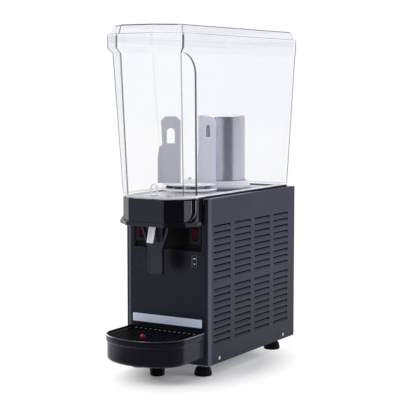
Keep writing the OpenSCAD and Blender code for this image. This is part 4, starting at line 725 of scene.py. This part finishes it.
mesh = bmesh.new()
for side in (1, -1):
    collarFlute(mesh, side)
bmesh.ops.recalc_face_normals(mesh, faces=mesh.faces)
for half in (1, -1):
    faces = [f for f in mesh.faces if f.calc_center_median().x * half > 0]
    if sum(f.normal.x * half for f in faces) < 0:
        bmesh.ops.reverse_faces(mesh, faces=faces)
bmesh.ops.solidify(mesh, geom=mesh.faces, thickness=fluteSet["thick"] / 1000)
pieceFrom(mesh, "collarFlutes", [paintedShadeBlack, beadHighlightGrey, stripReflectionGrey], "body", "gloss_black")
print("flutes made")


# fillers that carry the front panel's rounded edges over to the side sheets
fillerSet = {"front": ((88.5, 0.25), (91.6, 1.0), (94.7, 1.86)), "z": (24.2, 342.9),
             "behind": ((94.7, 7.4), (93.6, 4.5), (92.0, 2.3), (90.2, 1.0))}


def edgeFiller(mesh, side):
    plan = fillerSet["front"] + fillerSet["behind"]
    low, high = [[mesh.verts.new(at(side * x, y, z)) for x, y in plan] for z in fillerSet["z"]]
    skin(mesh, low, high)
    mesh.faces.new(low[::-1])
    mesh.faces.new(high)


mesh = bmesh.new()
for side in (1, -1):
    edgeFiller(mesh, side)
bmesh.ops.recalc_face_normals(mesh, faces=mesh.faces)
pieceFrom(mesh, "edgeFillers", [finishes["panel_black"]], "body", "panel_black")
print("edge fillers made")


# painted shade: dark strips laid in the three slanted grooves beside the paddle
grooveShadeSet = {"x": -62.0, "z": (234.0, 221.0, 208.0), "long": 23.4, "wide": 2.1, "tilt": 17.0, "y": (1.1, 1.45),
            "endPoints": 10}


def grooveShadeStrip(mesh, z):
    half, r = grooveShadeSet["long"] / 2 - grooveShadeSet["wide"] / 2, grooveShadeSet["wide"] / 2
    lean, n = math.radians(grooveShadeSet["tilt"]), grooveShadeSet["endPoints"]
    rings = []
    for y in grooveShadeSet["y"]:
        ring = []
        for i in range(2 * n):
            turn = math.pi * (i % n) / (n - 1) + (math.pi / 2 if i < n else -math.pi / 2)
            u, w = (-half if i < n else half) + r * math.cos(turn), r * math.sin(turn)
            x = grooveShadeSet["x"] + u * math.cos(lean) + w * math.sin(lean)
            ring.append(mesh.verts.new(at(x, y, z - u * math.sin(lean) + w * math.cos(lean))))
        rings.append(ring)
    skin(mesh, rings[0], rings[1])
    mesh.faces.new(rings[0][::-1])
    mesh.faces.new(rings[1])


mesh = bmesh.new()
for z in grooveShadeSet["z"]:
    grooveShadeStrip(mesh, z)
bmesh.ops.recalc_face_normals(mesh, faces=mesh.faces)
pieceFrom(mesh, "grooveShadeStrips", [paintedShadeBlack], "body", "satin_black")
print("inlays made")


# drip tray: round-fronted moulding with a rolled bottom edge, a raised band, peg bores and a stub leg
traySet = {
    "foot": 35.0, "roll": 9.0, "straight": 71.0, "arcSteps": 56, "back": 1.0, "backIn": 3.5,
    "wall": (87.0, 131.0), "band": (88.5, 135.0, 74.0, 88.0), "seat": (86.0, 132.5, 82.0),
    "well": (81.5, 125.5, 38.0), "peg": (60.0, 62.0, 4.1, 8.0, 23.0, 25.0), "pegSteps": 32,
    "leg": (36.0, 17.0, 14.5, 0.6), "legSteps": 40, "glossHighlightBands": 3,
}


def trayRing(mesh, hw, reach, back, z):
    n, straight = traySet["arcSteps"], traySet["straight"]
    points = [(hw, -back), (-hw, -back)]
    for i in range(n + 1):
        turn = math.pi * (1 + i / n)
        points.append((hw * math.cos(turn), -straight + (reach - straight) * math.sin(turn)))
    return [mesh.verts.new(at(x, y, z)) for x, y in points]


def pegRing(mesh, x, y, z, r):
    turns = [2 * math.pi * i / traySet["pegSteps"] for i in range(traySet["pegSteps"])]
    return [mesh.verts.new(at(x + r * math.cos(t), y, z + r * math.sin(t))) for t in turns]


mesh = bmesh.new()
wallHw, wallReach = traySet["wall"]
bandHw, bandReach, bandFoot, bandTop = traySet["band"]
seatHw, seatReach, seatZ = traySet["seat"]
wellHw, wellReach, wellZ = traySet["well"]
outerSteps = []  # half width, reach and height of each ring
for turn in quarterTurns:
    pull, rise = traySet["roll"] * (1 - math.sin(turn)), traySet["roll"] * (1 - math.cos(turn))
    outerSteps.append((wallHw - pull, wallReach - pull, traySet["foot"] + rise))
outerSteps += [
    (wallHw, wallReach, bandFoot - 1.6), (wallHw + 0.3, wallReach + 0.8, bandFoot - 0.4),
    (bandHw - 0.3, bandReach - 0.8, bandFoot + 1.0), (bandHw, bandReach, bandFoot + 2.4),
    (bandHw, bandReach, bandTop - 1.8), (bandHw - 0.5, bandReach - 0.5, bandTop - 0.5),
    (bandHw - 1.2, bandReach - 1.2, bandTop),
]
innerSteps = [
    (seatHw + 0.5, seatReach + 0.5, bandTop), (seatHw, seatReach, bandTop - 0.6), (seatHw, seatReach, seatZ),
    (wellHw, wellReach, seatZ), (wellHw, wellReach, wellZ + 3), (wellHw - 3, wellReach - 3, wellZ),
]
outerRings = [trayRing(mesh, hw, reach, traySet["back"], z) for hw, reach, z in outerSteps]
innerRings = [trayRing(mesh, hw, reach, traySet["backIn"], z) for hw, reach, z in innerSteps]
# the top bands of the rim take the finish with the painted highlight
for i, (low, high) in enumerate(zip(outerRings, outerRings[1:])):
    inRim = i >= len(outerRings) - traySet["glossHighlightBands"]
    backFace = skin(mesh, low, high, int(inRim))[0]
    mesh.faces.remove(backFace)
skin(mesh, outerRings[-1], innerRings[0])
for low, high in zip(innerRings, innerRings[1:]):
    skin(mesh, low, high)
mesh.faces.new(innerRings[-1])
mesh.faces.new(outerRings[0][::-1])

# back wall of the tray, open where the pegs go in
pegX, pegZ, boreR, bossR, boreEnd, bossEnd = traySet["peg"]
backEdges = [mesh.edges.get((ring[0], ring[1])) for ring in (outerRings[0], outerRings[-1])]
for low, high in zip(outerRings, outerRings[1:]):
    backEdges += [mesh.edges.get((low[k], high[k])) for k in (0, 1)]
for side in (-1, 1):
    mouth = pegRing(mesh, side * pegX, -traySet["back"], pegZ, boreR)
    blind = pegRing(mesh, side * pegX, -boreEnd, pegZ, boreR)
    skin(mesh, mouth, blind, turned=True)
    mesh.faces.new(blind)
    backEdges += [mesh.edges.get((mouth[k], mouth[k - 1])) for k in range(len(mouth))]
    bossLow = pegRing(mesh, side * pegX, -traySet["backIn"] + 0.5, pegZ, bossR)
    bossTip = pegRing(mesh, side * pegX, -bossEnd, pegZ, bossR)
    skin(mesh, bossLow, bossTip)
    mesh.faces.new(bossTip[::-1])
backWall = bmesh.ops.triangle_fill(mesh, edges=backEdges, use_beauty=True, normal=(0, 1, 0))["geom"]
for face in backWall:
    if isinstance(face, bmesh.types.BMFace) and face.normal.y < 0:
        face.normal_flip()
legY, legTop, legTip, legFoot = traySet["leg"]
legProfile = ((legTip - 1.5, legFoot), (legTip - 0.4, legFoot + 0.5), (legTip, legFoot + 1.6),
              (legTop, traySet["foot"] + 0.5))
legRings = [ringOf(mesh, circlePoints(0, -legY, r, traySet["legSteps"]), z) for r, z in legProfile]
for low, high in zip(legRings, legRings[1:]):
    skin(mesh, low, high)
mesh.faces.new(legRings[0][::-1])
pieceFrom(mesh, "trayMoulding", [trayBlack, rimGlossAndHighlight], "tray", "gloss_black", "drip_tray")
print("tray made")


# panel screws: low domed heads with a cross recess, on their shanks
screwSet = {
    "x": 96.0, "ys": (44.0, 319.0), "z": 31.0, "r": 3.5, "high": 1.5, "edge": 0.35, "dome": 0.98, "arm": 2.1,
    "slot": 0.55, "deep": 0.7, "shankR": 1.75, "shankIn": 7.0, "rings": 14, "round": 56,
}


def screwHead(mesh, side, y):
    rings = []
    for i in range(screwSet["rings"], -1, -1):
        share = i / screwSet["rings"]
        out = math.sqrt(max(0.0, 1 - share ** 2 * screwSet["dome"]))
        out = screwSet["edge"] + (screwSet["high"] - screwSet["edge"]) * out
        ring = []
        for k in range(screwSet["round"]):
            turn = 2 * math.pi * k / screwSet["round"]
            a, b = screwSet["r"] * share * math.cos(turn), screwSet["r"] * share * math.sin(turn)
            inArm = min(abs(a), abs(b)) < screwSet["slot"] and max(abs(a), abs(b)) < screwSet["arm"]
            ring.append((a, b, out - screwSet["deep"] if inArm else out))
        rings.append(ring)
    slim, full = screwSet["shankR"], screwSet["r"]
    shank = [[(a * slim / full, b * slim / full, depth) for a, b, out in rings[0]]
             for depth in (-screwSet["shankIn"], 0.0)]
    foot = [(a, b, 0.0) for a, b, out in rings[0]]
    loops = []
    for ring in shank + [foot] + rings[:-1]:
        points = [at(side * (screwSet["x"] + out), y + side * a, screwSet["z"] + b) for a, b, out in ring]
        loops.append([mesh.verts.new(p) for p in points])
    for low, high in zip(loops, loops[1:]):
        skin(mesh, low, high)
    mesh.faces.new(loops[0][::-1])
    mesh.faces.new(loops[-1])


mesh = bmesh.new()
for side in (1, -1):
    for y in screwSet["ys"]:
        screwHead(mesh, side, y)
bmesh.ops.recalc_face_normals(mesh, faces=mesh.faces)
pieceFrom(mesh, "panelScrewHeads", [finishes["silver_metal"]], "body", "silver_metal", "panel_screws")
print("screws made")


# pale marks on the cooling rocker: a bar above and a frost star below
markSet = {"bar": (5.0, 1.7, 5.2), "star": (4.6, 0.6, -5.4), "turns": {"bar": (0,), "star": (0, 60, 120)},
           "proud": 0.12, "reach": 50}
low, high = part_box("cool_rocker")
rocker = nodes["cool_rocker"]
bpy.context.view_layer.update()


def rockerFace(x, z):
    start = Vector((x, low[1] - markSet["reach"] / 1000, z))
    return rocker.ray_cast(start, Vector((0, 1, 0)))[1:3]


def stroke(mesh, middle, along, wide, normal):
    across = normal.cross(along).normalized() * wide / 2
    lift = normal * markSet["proud"] / 1000
    corners = [middle + a * along + b * across for a, b in ((-0.5, -1), (0.5, -1), (0.5, 1), (-0.5, 1))]
    top = [mesh.verts.new(c + lift) for c in corners]
    foot = [mesh.verts.new(c - lift) for c in corners]
    skin(mesh, foot, top)
    mesh.faces.new(top)
    mesh.faces.new(foot[::-1])


mesh = bmesh.new()
middleX, middleZ = (low[0] + high[0]) / 2, (low[2] + high[2]) / 2
for name, turns in markSet["turns"].items():
    long, wide, rise = (v / 1000 for v in markSet[name])
    place, normal = rockerFace(middleX, middleZ + rise)
    flatUp = (Vector((0, 0, 1)) - normal * normal.z).normalized()
    sideways = flatUp.cross(normal)
    for turn in turns:
        angle = math.radians(turn)
        along = (sideways * math.cos(angle) + flatUp * math.sin(angle)) * long
        stroke(mesh, place, along, wide, normal)
bmesh.ops.recalc_face_normals(mesh, faces=mesh.faces)
pieceFrom(mesh, "rockerMarks", [markWhite], "cool_key", "white_plastic")
print("rocker marks made")


# pale pointer in the groove of the thermostat knob
pointerSet = {"long": 9.6, "wide": 1.8, "rise": 8.3, "deep": 1.5}
low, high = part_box("thermostat_knob")
long, wide, rise, deep = (v / 1000 for v in pointerSet.values())
place = Vector(((low[0] + high[0]) / 2, high[1] - deep, (low[2] + high[2]) / 2 + rise))
mesh = bmesh.new()
stroke(mesh, place, Vector((0, 0, long)), wide, Vector((0, 1, 0)))
bmesh.ops.recalc_face_normals(mesh, faces=mesh.faces)
pieceFrom(mesh, "knobPointer", [markWhite], "knob", "white_plastic")
print("knob pointer made")


# black filter mats behind the louvres, in shallow pleats
matSet = {"x": 88.0, "y": (26, 362), "z": (48, 334), "pleat": 12.0, "deep": 2.4, "thick": 1.2,
          "names": {1: "filterMatRight", -1: "filterMatLeft"}}


def filterMat(side, name):
    mesh = bmesh.new()
    y0, y1 = matSet["y"]
    count = int((y1 - y0) / matSet["pleat"]) * 4
    rows = []
    for z in matSet["z"]:
        line = []
        for i in range(count + 1):
            x = matSet["x"] + matSet["deep"] * math.sin(i * math.pi / 2) / 2
            line.append(mesh.verts.new(at(side * x, y0 + (y1 - y0) * i / count, z)))
        rows.append(line)
    for i in range(count):
        face = mesh.faces.new((rows[0][i], rows[0][i + 1], rows[1][i + 1], rows[1][i]))
        face.smooth = True
    bmesh.ops.recalc_face_normals(mesh, faces=mesh.faces)
    bmesh.ops.solidify(mesh, geom=mesh.faces, thickness=matSet["thick"] / 1000)
    pieceFrom(mesh, name, [filterFelt], "body", "black_rubber")


for side, name in matSet["names"].items():
    filterMat(side, name)
print("filter mats made")


# studio: white surround that is dimmer behind the camera, soft lamps, one dark board and a pale floor
studioSet = {"back": 0.85, "front": 0.22, "towards": (0.5185, -0.855, 0), "tint": (0.97, 0.98, 1.0, 1),
             "seen": 1.03}
world = bpy.data.worlds.new("studio")
scene.world = world
world.use_nodes = True
tree = world.node_tree
surround = tree.nodes["Background"]
surround.inputs["Color"].default_value = studioSet["tint"]
coords = tree.nodes.new("ShaderNodeTexCoord")
aim = addNode(tree, "ShaderNodeVectorMath", operation="DOT_PRODUCT")
aim.inputs[1].default_value = studioSet["towards"]
tree.links.new(coords.outputs["Generated"], aim.inputs[0])
shade = spanOf(tree, aim.outputs["Value"], -1.0, 1.0, studioSet["back"], studioSet["front"])
path = tree.nodes.new("ShaderNodeLightPath").outputs
seen = mathOf(tree, "MAXIMUM", path["Is Camera Ray"], path["Is Transmission Ray"])
tree.links.new(mixOf(tree, seen, shade, studioSet["seen"]), surround.inputs["Strength"])

# lamps: place, target, width, height, power; the right one leaves no glint
lampSet = {
    "topLamp": ((-0.3, 0.8, 2.4), (0, 0, 0.3), 2.2, 2.2, 32),
    "rightLamp": ((2.4, 0.50, 1.05), (0, 0, 0.75), 0.9, 2.0, 37),
    "frontLamp": ((-0.7, -1.5, 2.5), (0, 0, 0.3), 1.2, 1.2, 26),
    "leftLamp": ((-1.7, -1.7, 1.1), (0, 0, 0.3), 1.6, 1.8, 6),
}
for name, (place, target, width, height, power) in lampSet.items():
    lamp = bpy.data.lights.new(name, "AREA")
    lamp.shape = "RECTANGLE"
    lamp.size, lamp.size_y = width, height
    lamp.energy = power
    obj = bpy.data.objects.new(name, lamp)
    obj.location = place
    obj.rotation_euler = (Vector(target) - Vector(place)).to_track_quat("-Z", "Y").to_euler()
    obj.visible_camera = False
    obj.visible_glossy = name != "rightLamp"
    scene.collection.objects.link(obj)


def stagePlane(name, width, height, mat):
    sheet = bmesh.new()
    bmesh.ops.create_grid(sheet, x_segments=1, y_segments=1, size=0.5)
    bmesh.ops.scale(sheet, verts=sheet.verts, vec=(width, height, 1))
    data = bpy.data.meshes.new(name)
    sheet.to_mesh(data)
    sheet.free()
    data.materials.append(mat)
    obj = bpy.data.objects.new(name, data)
    scene.collection.objects.link(obj)
    return obj


boardSet = {"place": (1.722, -0.823, 1.1), "size": (1.79, 2.2), "faces": (1.632, -0.973, 0)}
boardBlack = surface("boardBlack", (0.010, 0.010, 0.012), 0.8, drift=0.2, grain=60, bump=0.1)
board = stagePlane("darkBoard", *boardSet["size"], boardBlack)
board.location = boardSet["place"]
board.rotation_euler = Vector(boardSet["faces"]).to_track_quat("Z", "Y").to_euler()
board.visible_camera = False

# floor: takes the shadow in an oval round the part, glows white outside it, and less so in reflections
floorSet = {"size": 24, "colour": (0.90, 0.90, 0.92, 1), "rough": 0.45, "glow": 1.03, "oval": (1.6, 1, 1),
            "shift": (-0.08, 0.05, 0), "fade": (0.15, 0.27), "share": (0.12, 1.0), "glints": 0.45}
mat, tree, shader = newFinish("paleFloor")
shader.inputs["Base Color"].default_value = floorSet["colour"]
shader.inputs["Roughness"].default_value = floorSet["rough"]
glow = addNode(tree, "ShaderNodeEmission", Color=(1, 1, 1, 1), Strength=floorSet["glow"])
coords = tree.nodes.new("ShaderNodeTexCoord")
oval = addNode(tree, "ShaderNodeVectorMath", operation="MULTIPLY_ADD")
oval.inputs[1].default_value = floorSet["oval"]
oval.inputs[2].default_value = floorSet["shift"]
tree.links.new(coords.outputs["Object"], oval.inputs[0])
far = addNode(tree, "ShaderNodeVectorMath", operation="LENGTH")
tree.links.new(oval.outputs["Vector"], far.inputs[0])
fade = spanOf(tree, far.outputs["Value"], *floorSet["fade"], *floorSet["share"])
path = tree.nodes.new("ShaderNodeLightPath").outputs
shown = mathOf(tree, "MULTIPLY_ADD", path["Is Glossy Ray"], floorSet["glints"], path["Is Camera Ray"])
blend = tree.nodes.new("ShaderNodeMixShader")
tree.links.new(mathOf(tree, "MULTIPLY", fade, shown), blend.inputs[0])
tree.links.new(shader.outputs[0], blend.inputs[1])
tree.links.new(glow.outputs[0], blend.inputs[2])
tree.links.new(blend.outputs[0], tree.nodes["Material Output"].inputs["Surface"])
stagePlane("studioFloor", floorSet["size"], floorSet["size"], mat)
print("studio made")
